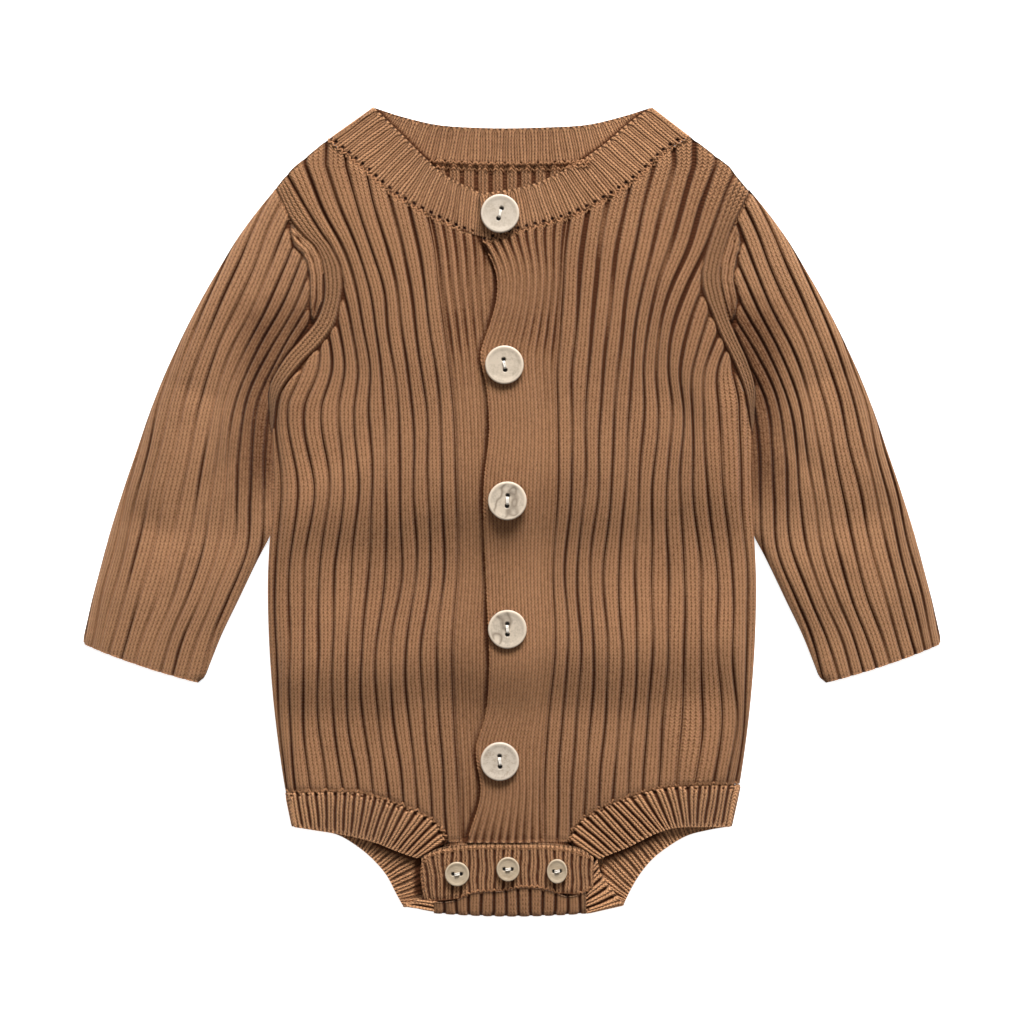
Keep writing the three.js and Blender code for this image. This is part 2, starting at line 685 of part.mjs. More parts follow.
// ---------------------------------------------------------------- bands
// Each band is one strip. A row gives the free and the seam end of one wale; "turn" is 0 where the
// strip faces up, 180 where it faces the table, and a fold row takes it from one to the other.
const NECK = [
  { fx: 5, fy: 147, sx: 5, sy: 126, rise: 0, show: 0 },
  { fx: -6, fy: 150.3, sx: -6, sy: 129.2, rise: 0, show: 0 },
  { fx: -15, fy: 152.8, sx: -16, sy: 132.2, rise: 0, show: 0 },
  { fx: -20, fy: 155, sx: -22, sy: 134, rise: 1, show: 0 },
  { fx: -32.9, fy: 161.8, sx: -40, sy: 142.3, rise: 1, show: 0 },
  { fx: -42, fy: 169.9, sx: -56.4, sy: 151.7, rise: 1, show: 0 },
  { fx: -53, fy: 181, sx: -72, sy: 165.2, rise: 1, show: 0 },
  { fx: -66.3, fy: 194, sx: -88.1, sy: 178.5, rise: 1, show: 0, fold: 1 },
  { fx: -52, fy: 189.4, sx: -62, sy: 170.4, rise: 1, show: 0 },
  { fx: -38, fy: 186, sx: -44, sy: 167.7, rise: 1, show: 1 },
  { fx: -15, fy: 184.2, sx: -16, sy: 166, rise: 1, show: 1 },
  { fx: 15, fy: 184.4, sx: 16, sy: 166, rise: 1, show: 1 },
  { fx: 38, fy: 186, sx: 44, sy: 167.7, rise: 1, show: 1 },
  { fx: 52, fy: 189.4, sx: 62, sy: 170.4, rise: 1, show: 0 },
  { fx: 66.8, fy: 194, sx: 85, sy: 180, rise: 1, show: 0, fold: 1, over: 1 },
  { fx: 57.8, fy: 187.7, sx: 74.6, sy: 173.3, rise: 1, show: 0, over: 1 },
  { fx: 43, fy: 175.2, sx: 60, sy: 159.9, rise: 1, show: 0, over: 1 },
  { fx: 31.9, fy: 167.5, sx: 46.3, sy: 150.5, rise: 1, show: 0, over: 1 },
  { fx: 20.4, fy: 161.3, sx: 30, sy: 142.2, rise: 1, show: 0, over: 1 },
  { fx: 9.4, fy: 156.5, sx: 15, sy: 137.5, rise: 1, show: 0, over: 1 },
  { fx: -3, fy: 153.8, sx: 0, sy: 133.2, rise: 1, show: 0, over: 1 },
  { fx: -15.5, fy: 152, sx: -14, sy: 128.8, rise: 1, show: 0, over: 1 },
];
const RIGHT_BAND = [
  { fx: -44.9, fy: -165.8, sx: -31.2, sy: -158, rise: 1, show: 0 },
  { fx: -50, fy: -164.2, sx: -35.3, sy: -149.9, rise: 1, show: 0 },
  { fx: -55.4, fy: -162.2, sx: -42, sy: -145, rise: 1, show: 0 },
  { fx: -64.8, fy: -158.4, sx: -57.4, sy: -138.8, rise: 1, show: 0 },
  { fx: -75.1, fy: -155.5, sx: -72, sy: -134.4, rise: 1, show: 0 },
  { fx: -92.4, fy: -152.6, sx: -94, sy: -133.8, rise: 1, show: 0 },
  { fx: -105.2, fy: -150.7, sx: -108.6, sy: -134.4, rise: 1, show: 0, fold: 1 },
  { fx: -94, fy: -152.8, sx: -92, sy: -135.2, rise: 1, show: 0 },
  { fx: -83.8, fy: -154.8, sx: -79, sy: -137.4, rise: 1, show: 0 },
  { fx: -74.2, fy: -160.3, sx: -66, sy: -144, rise: 1, show: 0 },
  { fx: -66.5, fy: -166.8, sx: -54, sy: -153.5, rise: 1, show: 0 },
  { fx: -60.2, fy: -174.2, sx: -45, sy: -164.5, rise: 1, show: 0.7 },
  { fx: -55.6, fy: -182.9, sx: -39, sy: -177, rise: 1, show: 0.7 },
  { fx: -52.3, fy: -189, sx: -36, sy: -192, rise: 1, show: 0, fold: -1, lift: 1.4 },
  { fx: -44.5, fy: -185, sx: -35.5, sy: -185.4, rise: 1, show: 0, lift: 2.1 },
];
const LEFT_BAND = [
  { fx: 41.2, fy: -166.2, sx: 27.2, sy: -158, rise: 1, show: 0 },
  { fx: 47, fy: -163.8, sx: 30.4, sy: -150, rise: 1, show: 0 },
  { fx: 54.5, fy: -160.8, sx: 38, sy: -144, rise: 1, show: 0 },
  { fx: 69.4, fy: -153.6, sx: 54.5, sy: -136.8, rise: 1, show: 0 },
  { fx: 77.5, fy: -151.2, sx: 70.3, sy: -132.2, rise: 1, show: 0 },
  { fx: 90, fy: -150.7, sx: 92, sy: -130.6, rise: 1, show: 0 },
  { fx: 105, fy: -150.7, sx: 109.4, sy: -130.8, rise: 1, show: 0, fold: 1 },
  { fx: 94, fy: -152.6, sx: 92, sy: -135.2, rise: 1, show: 0 },
  { fx: 84.6, fy: -155, sx: 79, sy: -137.4, rise: 1, show: 0 },
  { fx: 75.6, fy: -160, sx: 66, sy: -144, rise: 1, show: 0 },
  { fx: 66.5, fy: -167.5, sx: 54, sy: -153.5, rise: 1, show: 0 },
  { fx: 61.6, fy: -173, sx: 45, sy: -164.5, rise: 1, show: 0.7 },
  { fx: 57.2, fy: -179.8, sx: 39, sy: -177, rise: 1, show: 0.7 },
  { fx: 53.2, fy: -188.4, sx: 36, sy: -192, rise: 1, show: 0, fold: -1, lift: 1.4 },
  { fx: 46.5, fy: -182, sx: 35.5, sy: -185.4, rise: 1, show: 0, lift: 2.1 },
];
const FOLD_STEPS = 4;
const BAND_GAP = 0.4; // from a band's edge to its seam line, measured along the wale

// Stations of a strip, with every fold opened into its steps.
function stations(rows) {
  const list = [];
  let turn = 0;
  let previous = null;
  for (const row of rows) {
    const free = new THREE.Vector2(row.fx, row.fy);
    const seam = new THREE.Vector2(row.sx, row.sy);
    const across = seam.clone().sub(free).normalize();
    seam.addScaledVector(across, -BAND_GAP);
    const middle = free.clone().add(seam).multiplyScalar(0.5);
    const out = new THREE.Vector2();
    if (row.fold) {
      out.copy(middle).sub(previous);
      out.addScaledVector(across, -out.dot(across)).normalize();
      const inset = -(TURN_RADIUS + WALL / 2);
      free.addScaledVector(out, inset);
      seam.addScaledVector(out, inset);
    }
    const steps = row.fold ? FOLD_STEPS : 0;
    for (let i = 0; i <= steps; i += 1) {
      const angle = turn + (steps ? (row.fold * 180 * i) / steps : 0);
      list.push({ lift: 0, over: 0, ...row, free, seam, out, turn: angle });
    }
    turn += row.fold ? row.fold * 180 : 0;
    previous = middle;
  }
  return list;
}

// Point of the strip at a distance along it (in stations), across it (0 free, 1 seam) and out of it.
function stripPoint(list, place, v, inside) {
  const i = Math.min(Math.floor(place), list.length - 2);
  const t = place - i;
  const at = (s) => {
    const spot = s.free.clone().lerp(s.seam, v);
    const flat = (1 + Math.cos(THREE.MathUtils.degToRad(s.turn))) / 2;
    const lift = s.lift + foldRise(spot.x, spot.y) + s.over * lapRise(spot.x);
    return { spot, lift, flat, s };
  };
  const a = at(list[i]);
  const b = at(list[i + 1]);
  const up = lerp(a.flat, b.flat, t);
  const offset = inside === null
    ? -BAND_RISE * lerp(a.s.show, b.s.show, t) * (1 - up)
    : WALL + BAND_RISE * inside * lerp(a.s.rise, b.s.rise, t) * up;
  const pa = turned(a.s.turn, a.lift, offset);
  const pb = turned(b.s.turn, b.lift, offset);
  const spotA = a.spot.addScaledVector(a.s.out, pa.out);
  const spotB = b.spot.addScaledVector(b.s.out, pb.out);
  const spot = spotA.lerp(spotB, t);
  return new THREE.Vector3(spot.x, spot.y, lerp(pa.z, pb.z, t));
}

function band(rows, pitch, across) {
  const list = stations(rows);
  const middle = (place) => stripPoint(list, place, 0.5, 0);
  const steps = 12 * (list.length - 1);
  const reach = [0];
  for (let i = 1; i <= steps; i += 1) {
    reach.push(reach[i - 1] + middle(i / 12).distanceTo(middle((i - 1) / 12)));
  }
  const total = reach[steps];
  const ribs = Math.round(total / pitch);
  const placeAt = (u) => {
    const want = (u / ribs) * total;
    let i = 0;
    while (i < steps - 1 && reach[i + 1] < want) {
      i += 1;
    }
    return (i + (want - reach[i]) / (reach[i + 1] - reach[i])) / 12;
  };
  const columns = ribColumns(0, ribs);
  const inner = ribColumns(0, ribs).filter((c) => c.rise === 0 || shows(list, placeAt(c.u)));
  return wall(
    {
      at: columns.map((c) => c.u),
      rows: across.map((v) => columns.map((c) => stripPoint(list, placeAt(c.u), v, c.rise))),
    },
    {
      at: inner.map((c) => c.u),
      rows: across.map((v) => inner.map((c) => innerPoint(list, placeAt(c.u), v, c.rise))),
    },
  );
}

function shows(list, place) {
  const i = Math.min(Math.floor(place), list.length - 2);
  return lerp(list[i].show, list[i + 1].show, place - i) > 0.3;
}

function innerPoint(list, place, v, rise) {
  if (rise > 0) {
    return stripPoint(list, place, v, null);
  }
  const plain = list.map((s) => ({ ...s, show: 0 }));
  return stripPoint(plain, place, v, null);
}

piece("neckband", band(NECK, NECK_PITCH, [0, 0.5, 1]), BAND_WOOL);
piece("leg_band_right", band(RIGHT_BAND, LEG_PITCH, [0, 1]), BAND_WOOL);
piece("leg_band_left", band(LEFT_BAND, LEG_PITCH, [0, 1]), BAND_WOOL);

// ---------------------------------------------------------------- crotch bands
// The front's button band lies under the back's buttonhole band; both are straight strips.
const CROTCH_FRONT = [
  { x: -36, free: -180.5, seam: -162.6 },
  { x: -30, free: -180.5, seam: -158.6 },
  { x: 26, free: -180.5, seam: -158.6 },
  { x: 33, free: -180.5, seam: -163 },
];
const CROTCH_BACK = [
  { x: -43.2, free: -165.5, seam: -183.2 },
  { x: -36, free: -162.6, seam: -183.2 },
  { x: -24, free: -160.8, seam: -183.2 },
  { x: 0, free: -160.2, seam: -183.2 },
  { x: 24, free: -161, seam: -183.2 },
  { x: 34, free: -162.8, seam: -183.2 },
  { x: 39, free: -166, seam: -183.2 },
];
const FLAP_HEIGHT = FRONT_IN + LAP;

// Value of one column of a table at a given x; the table runs from low x to high x.
function acrossTable(table, x, column) {
  let i = 0;
  while (i < table.length - 2 && table[i + 1].x < x) {
    i += 1;
  }
  return lerp(table[i][column], table[i + 1][column], (x - table[i].x) / (table[i + 1].x - table[i].x));
}

function crotchBand(table, height, rise) {
  const left = table[0].x;
  const width = table[table.length - 1].x - left;
  const ribs = Math.round(width / CROTCH_PITCH);
  const point = (x, edge, z) => new THREE.Vector3(x, acrossTable(table, x, edge), z);
  const columns = ribColumns(0, ribs).map((c) => ({ x: left + (c.u / ribs) * width, rise: c.rise }));
  const shown = rise ? columns : table.map((row) => ({ x: row.x, rise: 0 }));
  const edges = ["free", "seam"];
  return wall(
    {
      at: shown.map((c) => c.x),
      rows: edges.map((edge) => shown.map((c) => point(c.x, edge, height + WALL + rise * c.rise))),
    },
    {
      at: table.map((row) => row.x),
      rows: edges.map((edge) => table.map((row) => point(row.x, edge, height))),
    },
  );
}
piece("crotch_band_front", crotchBand(CROTCH_FRONT, FRONT_IN, 0), BAND_WOOL);
piece("crotch_band_back", crotchBand(CROTCH_BACK, FLAP_HEIGHT, BAND_RISE), BAND_WOOL);

// ---------------------------------------------------------------- buttons
// Turned discs with a raised rim, a dished middle and two holes for the thread.
const LARGE = { radius: 9.2, height: 3.2, dish: 1.1, hole: 0.95, apart: 5.1, facets: 22 };
const SMALL = { radius: 5.8, height: 2.4, dish: 0.8, hole: 0.7, apart: 3.7, facets: 18 };
const BUTTONS = [
  { x: -5.7, y: 142.2, lean: 18 },
  { x: -3.6, y: 70.1, lean: -4 },
  { x: -2.2, y: 5.3, lean: 6 },
  { x: -2.2, y: -55.7, lean: 0 },
  { x: -5.8, y: -118.8, lean: 3 },
];
const CROTCH_BUTTONS = [
  { x: -26.2, y: -172.7, lean: 90 },
  { x: -1.9, y: -170.4, lean: 88 },
  { x: 21.5, y: -171.4, lean: 92 },
];

function buttonBody(size) {
  const { radius, height, dish } = size;
  const profile = [
    { r: 0.72 * radius, z: 0 },
    { r: 0.94 * radius, z: 0.22 * height },
    { r: radius, z: 0.55 * height },
    { r: 0.93 * radius, z: 0.88 * height },
    { r: 0.8 * radius, z: height },
    { r: 0.66 * radius, z: height - 0.35 * dish },
    { r: 0.52 * radius, z: height - dish },
  ];
  const points = [new THREE.Vector3(0, 0, 0)];
  for (const { r, z } of profile) {
    for (let i = 0; i < size.facets; i += 1) {
      const angle = (2 * Math.PI * i) / size.facets;
      points.push(new THREE.Vector3(r * Math.cos(angle), r * Math.sin(angle), z));
    }
  }
  points.push(new THREE.Vector3(0, 0, height - dish));
  const triangles = [];
  const id = (ring, i) => 1 + ring * size.facets + (i % size.facets);
  for (let i = 0; i < size.facets; i += 1) {
    triangles.push([0, id(0, i + 1), id(0, i)]);
    triangles.push([points.length - 1, id(profile.length - 1, i), id(profile.length - 1, i + 1)]);
    for (let ring = 0; ring < profile.length - 1; ring += 1) {
      triangles.push([id(ring, i), id(ring, i + 1), id(ring + 1, i + 1)]);
      triangles.push([id(ring, i), id(ring + 1, i + 1), id(ring + 1, i)]);
    }
  }
  let disc = solid(facingOut({ points, triangles }));
  for (const end of [-1, 1]) {
    const outline = Array.from({ length: 8 }, (_, i) => ({
      x: size.hole * Math.cos((i * Math.PI) / 4),
      y: (end * size.apart) / 2 + size.hole * Math.sin((i * Math.PI) / 4),
    }));
    disc = disc.subtract(solid(prism(outline, -1, height + 1)));
  }
  return body(disc);
}

function button(name, size, spot, height, look) {
  const { points, triangles } = buttonBody(size);
  const turn = new THREE.Matrix4().makeRotationZ(THREE.MathUtils.degToRad(spot.lean));
  turn.setPosition(spot.x, spot.y, height);
  piece(name, { points: points.map((p) => p.clone().applyMatrix4(turn)), triangles }, look);
}

// Highest cloth under a large button, so that it clears every fold there.
function seat(spot, radius) {
  const heights = [-1, -0.5, 0, 0.5, 1].map((k) => foldRise(spot.x, spot.y + k * radius));
  return FRONT_IN + LAP + WALL + RIB_RISE + GAP + Math.max(...heights);
}
BUTTONS.forEach((spot, i) => {
  button(`button_${i + 1}`, LARGE, spot, seat(spot, LARGE.radius), LARGE_BUTTON);
});
CROTCH_BUTTONS.forEach((spot, i) => {
  const height = FLAP_HEIGHT + WALL + BAND_RISE + GAP;
  button(`crotch_button_${i + 1}`, SMALL, spot, height, SMALL_BUTTON);
});

export default romper;
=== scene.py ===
import math

import bpy
import numpy as np
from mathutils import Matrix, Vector


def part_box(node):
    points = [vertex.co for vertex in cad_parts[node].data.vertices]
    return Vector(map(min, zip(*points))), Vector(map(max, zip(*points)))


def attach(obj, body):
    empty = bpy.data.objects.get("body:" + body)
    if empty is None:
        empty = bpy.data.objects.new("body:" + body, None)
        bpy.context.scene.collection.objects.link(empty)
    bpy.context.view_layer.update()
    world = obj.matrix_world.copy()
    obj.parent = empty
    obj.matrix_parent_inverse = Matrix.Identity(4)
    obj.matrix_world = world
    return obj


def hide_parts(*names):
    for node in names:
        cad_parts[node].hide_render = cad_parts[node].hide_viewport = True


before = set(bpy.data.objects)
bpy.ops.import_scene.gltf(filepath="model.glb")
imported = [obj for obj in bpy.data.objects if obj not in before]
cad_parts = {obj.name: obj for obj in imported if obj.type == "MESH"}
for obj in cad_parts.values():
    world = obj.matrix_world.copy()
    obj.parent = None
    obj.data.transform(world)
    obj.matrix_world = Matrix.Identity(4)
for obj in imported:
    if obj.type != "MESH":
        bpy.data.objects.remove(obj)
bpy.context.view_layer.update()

# ------------------------------------------------------------------ back panel
# The back is knitted in wide ribs, three wales wide, from the crotch to the shoulders. It lies
# flat on the table with its wrong side up, and its foot turns up over the front at the crotch.
MM = 0.001
WALL = 1.8  # thickness of the knitted wall at a furrow
GAP = 0.3
RIB_RISE = 1.2  # how far a wide rib stands above the wall
FURROW_CUT = 0.9  # how far a furrow sinks into the wall
COURSE = 1.64  # height of one row of stitches

SIDE_Y = [61, 0, -32, -60, -90, -118, -132, -170]
SIDE_HALF = [115, 115.4, 117, 116.5, 114.4, 111, 108.8, 100]
SHOULDER = (106.3, 163.4)


def spline(x, y):
    """A smooth curve through a short table; x runs upwards."""
    x = np.array(x, float)
    y = np.array(y, float)
    slope = np.gradient(y, x)

    def at(t):
        t = np.clip(np.asarray(t, float), x[0], x[-1])
        i = np.clip(np.searchsorted(x, t) - 1, 0, len(x) - 2)
        h = x[i + 1] - x[i]
        s = (t - x[i]) / h
        low = y[i] * (1 + 2 * s) * (1 - s) ** 2 + slope[i] * h * s * (1 - s) ** 2
        high = y[i + 1] * s * s * (3 - 2 * s) + slope[i + 1] * h * s * s * (s - 1)
        return low + high

    return at


def smooth(a, b, x):
    s = np.clip((np.asarray(x, float) - a) / (b - a), 0, 1)
    return s * s * (3 - 2 * s)


side_half = spline(SIDE_Y[::-1], SIDE_HALF[::-1])

# Armhole seam of each side, and the line inside it where the body's ribs meet the edge band.
ARMHOLE_RIGHT = dict(
    x=[113.2, 105.2, 99.8, 95.2, 92.1, 90.4, 90.4, 94.4, 101.3, 109.8, 115.8, 116],
    y=[154.9, 138, 131.9, 127.5, 121.5, 113, 101, 90.8, 82.4, 72.4, 61.5, 44],
    in_x=[108, 97.6, 92, 86.7, 82.6, 81, 81.8, 84.4, 90.6, 100, 110.6, 114.8],
    in_y=[161.3, 143.6, 134.4, 127, 119, 111.5, 101.5, 90, 80.8, 71.4, 57.5, 38],
)
ARMHOLE_LEFT = dict(
    x=[114.2, 111, 107.6, 103.9, 101, 99.6, 101.2, 104.4, 108.4, 112.4, 116.2, 116],
    y=[152.8, 146.4, 140, 131, 121, 111, 102.6, 91, 82, 73.6, 61.5, 44],
    in_x=[106.4, 101.8, 97.8, 93.6, 91, 90.2, 91.2, 94.7, 99.3, 105.4, 111.4, 114.8],
    in_y=[162, 152.2, 140.5, 127.5, 118.5, 111, 105, 96.2, 84.7, 72.4, 57.5, 38],
)
BACK_NECK = [(85.4, 175.4), (62, 170.7), (44, 168.1), (16, 166.4)]
BACK_LEG_RIGHT = [
    (92, -135.4), (79, -137.8), (66.2, -144.4), (54.2, -153.8), (45.4, -164.6), (39.8, -176.8),
]
BACK_LEG_LEFT = [
    (92, -135.4), (79, -137.8), (67.4, -143.4), (57, -152.2), (50.6, -158.6), (45, -167), (41.5, -175),
]
BACK_PITCH = 6.9  # width of one wide rib
HIP_HALF = 115.4  # half width that the back's ribs are spread over
FLAP_HALF = 37.4
FLAP_FOLD = -194.2


def run(line):
    """How far along a line each of its points lies."""
    return np.concatenate([[0], np.cumsum(np.linalg.norm(np.diff(line, axis=0), axis=1))])


def inside(outline, x, y):
    """Which points lie inside a closed outline."""
    px, py = np.array(outline, float).T
    qx, qy = np.roll(px, -1), np.roll(py, -1)
    hit = np.zeros(np.shape(x), bool)
    for ax, ay, bx, by in zip(px, py, qx, qy):
        if ay == by:
            continue
        crosses = (ay > y) != (by > y)
        hit ^= crosses & (x < ax + (bx - ax) * (y - ay) / (by - ay))
    return hit


def span(outline, place, u, low, high):
    """The longest stretch of each rail of a panel that lies inside the outline; rails that never
    enter it are left out."""
    heights = np.linspace(low, high, 361)
    held = inside(outline, *place(u[:, None], heights[None, :] + 0 * u[:, None]))
    held[:, [0, -1]] = False
    kept, ends = [], []
    for i, row in enumerate(held):
        turns = np.flatnonzero(np.diff(row.astype(int)))
        if len(turns):
            starts, stops = turns[::2], turns[1::2]
            best = np.argmax(stops - starts)
            kept.append(i)
            ends.append((starts[best], stops[best]))
    u = u[kept]
    ends = np.array(ends)
    found = []
    for within, beyond in ((ends[:, 0] + 1, ends[:, 0]), (ends[:, 1], ends[:, 1] + 1)):
        a, b = heights[within], heights[beyond]
        for _ in range(12):
            half = (a + b) / 2
            keep = inside(outline, *place(u, half))
            a = np.where(keep, half, a)
            b = np.where(keep, b, half)
        found.append(a)
    return u, *found


def in_scene(name, data):
    piece = bpy.data.objects.new(name, data)
    bpy.context.scene.collection.objects.link(piece)
    return piece


def formed(name, verts, faces):
    """A smooth piece from points in millimetres."""
    mesh = bpy.data.meshes.new(name)
    mesh.from_pydata((np.array(verts, float) * MM).tolist(), [], faces)
    mesh.polygons.foreach_set("use_smooth", np.ones(len(faces), bool))
    return in_scene(name, mesh)


def shell(name, sheets):
    """One mesh from sheets of cloth, each an outer and an inner grid of points joined at the rims."""
    verts, faces, stitch, furrow = [], [], [], []
    base = 0
    for sheet in sheets:
        outer, inner = sheet["outer"], sheet["inner"]
        rows, cols = outer.shape[:2]
        ids = np.arange(rows * cols).reshape(rows, cols)
        if sheet.get("ring"):
            ids = np.hstack([ids, ids[:, :1]])
        top = base + ids
        low = base + rows * cols + ids
        quads = [np.stack([top[:-1, :-1], top[1:, :-1], top[1:, 1:], top[:-1, 1:]], -1)]
        quads.append(np.stack([low[:-1, :-1], low[:-1, 1:], low[1:, 1:], low[1:, :-1]], -1))
        for r, flip in ((0, 1), (-1, 0)):
            rim = [top[r, :-1], top[r, 1:], low[r, 1:], low[r, :-1]]
            quads.append(np.stack(rim[::-1] if flip else rim, -1)[None])
        if not sheet.get("ring"):
            for c, flip in ((0, 0), (-1, 1)):
                rim = [top[:-1, c], top[1:, c], low[1:, c], low[:-1, c]]
                quads.append(np.stack(rim[::-1] if flip else rim, -1)[None])
        quads = np.concatenate([q.reshape(-1, 4) for q in quads])
        points = np.concatenate([outer.reshape(-1, 3), inner.reshape(-1, 3)])
        corner = points[quads - base]
        volume = np.einsum("ij,ij->i", corner[:, 0], np.cross(corner[:, 1], corner[:, 2]))
        volume += np.einsum("ij,ij->i", corner[:, 0], np.cross(corner[:, 2], corner[:, 3]))
        if volume.sum() < 0:
            quads = quads[:, ::-1]
        verts.append(points)
        faces.append(quads)
        stitch.append(np.tile(sheet["stitch"].reshape(-1, 2), (2, 1)))
        furrow.append(np.tile(sheet["furrow"].reshape(-1), 2))
        base += len(points)
    verts, faces = np.concatenate(verts) * MM, np.concatenate(faces)
    mesh = bpy.data.meshes.new(name)
    mesh.vertices.add(len(verts))
    mesh.vertices.foreach_set("co", verts.ravel())
    mesh.loops.add(faces.size)
    mesh.loops.foreach_set("vertex_index", faces.ravel().astype(np.int32))
    mesh.polygons.add(len(faces))
    mesh.polygons.foreach_set("loop_start", np.arange(0, faces.size, 4, dtype=np.int32))
    mesh.update(calc_edges=True)
    uv = mesh.uv_layers.new(name="stitch")
    uv.data.foreach_set("uv", np.concatenate(stitch)[faces.ravel()].ravel().astype(np.float32))
    # The furrow values also carry painted shade, which darkens the wool's colour.
    groove = mesh.attributes.new("furrow", "FLOAT", "POINT")
    groove.data.foreach_set("value", np.concatenate(furrow).astype(np.float32))
    mesh.polygons.foreach_set("use_smooth", np.ones(len(faces), bool))
    mesh.validate()
    return in_scene(name, mesh)


class Wire:
    """One socket of a node, with arithmetic that adds Math nodes."""

    def __init__(self, tree, socket):
        self.tree = tree
        self.socket = socket

    def beside(self, name):
        """Another output of the same node."""
        return Wire(self.tree, self.socket.node.outputs[name])

    def math(self, operation, *others):
        values = dict(enumerate([self, *others]))
        return self.tree.add("ShaderNodeMath", {"operation": operation}, values)

    def __add__(self, other):
        return self.math("ADD", other)

    def __sub__(self, other):
        return self.math("SUBTRACT", other)

    def __mul__(self, other):
        return self.math("MULTIPLY", other)

    def __radd__(self, other):
        return self.math("ADD", other)

    def __rsub__(self, other):
        return self.math("MULTIPLY_ADD", -1.0, other)

    def held(self):
        return self.math("MAXIMUM", 0.0).math("MINIMUM", 1.0)


class Tree:
    """Nodes being put together one by one."""

    def __init__(self, tree):
        self.nodes = tree.nodes
        self.links = tree.links
        self.nodes.clear()

    def add(self, kind, settings=None, values=None, out=0):
        node = self.nodes.new(kind)
        for key, value in (settings or {}).items():
            setattr(node, key, value)
        for key, value in (values or {}).items():
            if isinstance(value, Wire):
                self.links.new(value.socket, node.inputs[key])
            else:
                node.inputs[key].default_value = value
        return Wire(self, node.outputs[out]) if len(node.outputs) else None


class Paint(Tree):
    """A material."""

    def __init__(self, name):
        self.material = bpy.data.materials.new(name)
        self.material.use_nodes = True
        super().__init__(self.material.node_tree)

    def mix(self, factor, a, b):
        return self.add("ShaderNodeMix", {"data_type": "RGBA"}, {0: factor, 6: a, 7: b}, 2)

    def place(self):
        """Where a point lies on the romper, in metres."""
        return self.add("ShaderNodeTexCoord", None, None, 3)

    def painted(self, name):
        """A value that the mesh carries at its points."""
        return self.add("ShaderNodeAttribute", {"attribute_name": name}, None, 2)

    def bump(self, height, distance, strength=1.0):
        values = {"Strength": strength, "Distance": distance * MM, "Height": height}
        return self.add("ShaderNodeBump", None, values)

    def noise(self, place, scale, detail, roughness=0.5):
        values = {"Vector": place, "Scale": scale, "Detail": detail, "Roughness": roughness}
        return self.add("ShaderNodeTexNoise", None, values)

    def finish(self, values):
        surface = self.add("ShaderNodeBsdfPrincipled", None, values)
        self.add("ShaderNodeOutputMaterial", None, {"Surface": surface})
        return self.material


# The wool's colour where lit, and the dark colour it goes to as painted shade in gaps and furrows.
YARN_LIT = (0.415, 0.208, 0.1, 1)
YARN_DEEP = (0.065, 0.02, 0.0065, 1)


def knit(name, lit=YARN_LIT, deep=YARN_DEEP, bite=0.8, parted=0.8):
    """Brown wool in plain stitches: slanting legs on every wale, a nick between wales at every course,
    and the low bars of purl stitches down in the furrows; nicks and furrows are darkened by painted shade."""
    p = Paint(name)
    at = p.add("ShaderNodeUVMap", {"uv_map": "stitch"})
    wales = p.add("ShaderNodeSeparateXYZ", None, {0: at})
    courses = wales.beside("Y")
    furrow = p.painted("furrow")
    place = p.place()
    sway = p.noise(place, 340.0, 2.0) - 0.5
    w = wales + sway * 0.4
    h = courses + sway * 0.9
    half = (w - (w + 0.5).math("FLOOR")).math("ABSOLUTE") * 2
    slant = (h - half * 0.8).math("FRACT") * 2 - 1
    leg = 1 - slant * slant * 0.55
    course = ((h + 0.1).math("FRACT") * 2 - 1).math("ABSOLUTE")
    nick = half * half * (0.7 + (1 - course) * 0.6)
    inmost = (1 - half) * (1 - half)
    braid = leg - nick * parted - inmost * 0.25 * course
    bar = 1 - course * course
    purl = bar * 0.34 + 0.12
    relief = braid + furrow.math("MINIMUM", 1.0) * (purl - braid)
    fibre = p.noise(place, 1700.0, 3.0)
    heather = p.noise(place, 620.0, 3.0)
    cloud = p.noise(place, 24.0, 3.0)
    # The stitch relief and the furrow values darken the colour: painted shade between stitches and down the
    # furrows.
    shade = relief * 0.72 + (heather - 0.5) * 0.5 + (cloud - 0.5) * 0.45 + (fibre - 0.5) * 0.4
    lift = (shade + 0.29 - furrow * furrow * 0.95).held()
    colour = p.mix(lift, deep, lit)
    # Where the furrow values pass 1, in the eyelets, the colour goes almost black: painted shade in the
    # holes.
    colour = p.mix((furrow - 1).held(), colour, (0.012, 0.005, 0.003, 1))
    height = relief + fibre * 0.3 + heather * 0.2
    normal = p.bump(height, bite)
    return p.finish(
        {
            "Base Color": colour,
            "Roughness": 0.95,
            "Specular IOR Level": 0.12,
            "Sheen Weight": 0.12,
            "Sheen Roughness": 0.5,
            "Sheen Tint": (1, 0.8, 0.62, 1),
            "Normal": normal,
        }
    )


body_knit = knit("body wool")


# Columns of points over one wide rib, close together in the furrows.
RIB_STEPS = np.array([0, 0.035, 0.075, 0.125, 0.2, 0.35, 0.5, 0.65, 0.8, 0.875, 0.925, 0.965])


def rib_columns(first, last):
    u = (np.arange(math.floor(first), math.ceil(last))[:, None] + RIB_STEPS).ravel()
    return np.concatenate([[first], u[(u > first) & (u < last)], [last]])


def wide_rib(u, pitch, gape=0.15):
    """Profile of wide ribs: 0 down in a furrow, 1 on the rib. The furrow's floor reaches as far
    as "gape" to either side."""
    away = np.abs(u - np.round(u)) * pitch
    crown = 1 - 0.12 * (1 - np.clip((away - gape - 0.7) / 1.9, 0, 1)) ** 2
    return smooth(gape, gape + 0.7, away) * crown


def turned(turn, lift, radius, middle, offset):
    """Reach and height of a wall that goes round a fold; offset runs from its inner face."""
    angle = np.radians(turn)
    reach = radius + offset - WALL / 2
    up = (1 + np.cos(angle)) / 2
    return reach * np.sin(angle), middle + reach * np.cos(angle) + lift * up, up


TURN_RADIUS = (WALL + GAP + 0.2) / 2
TURN_MIDDLE = WALL / 2 + TURN_RADIUS


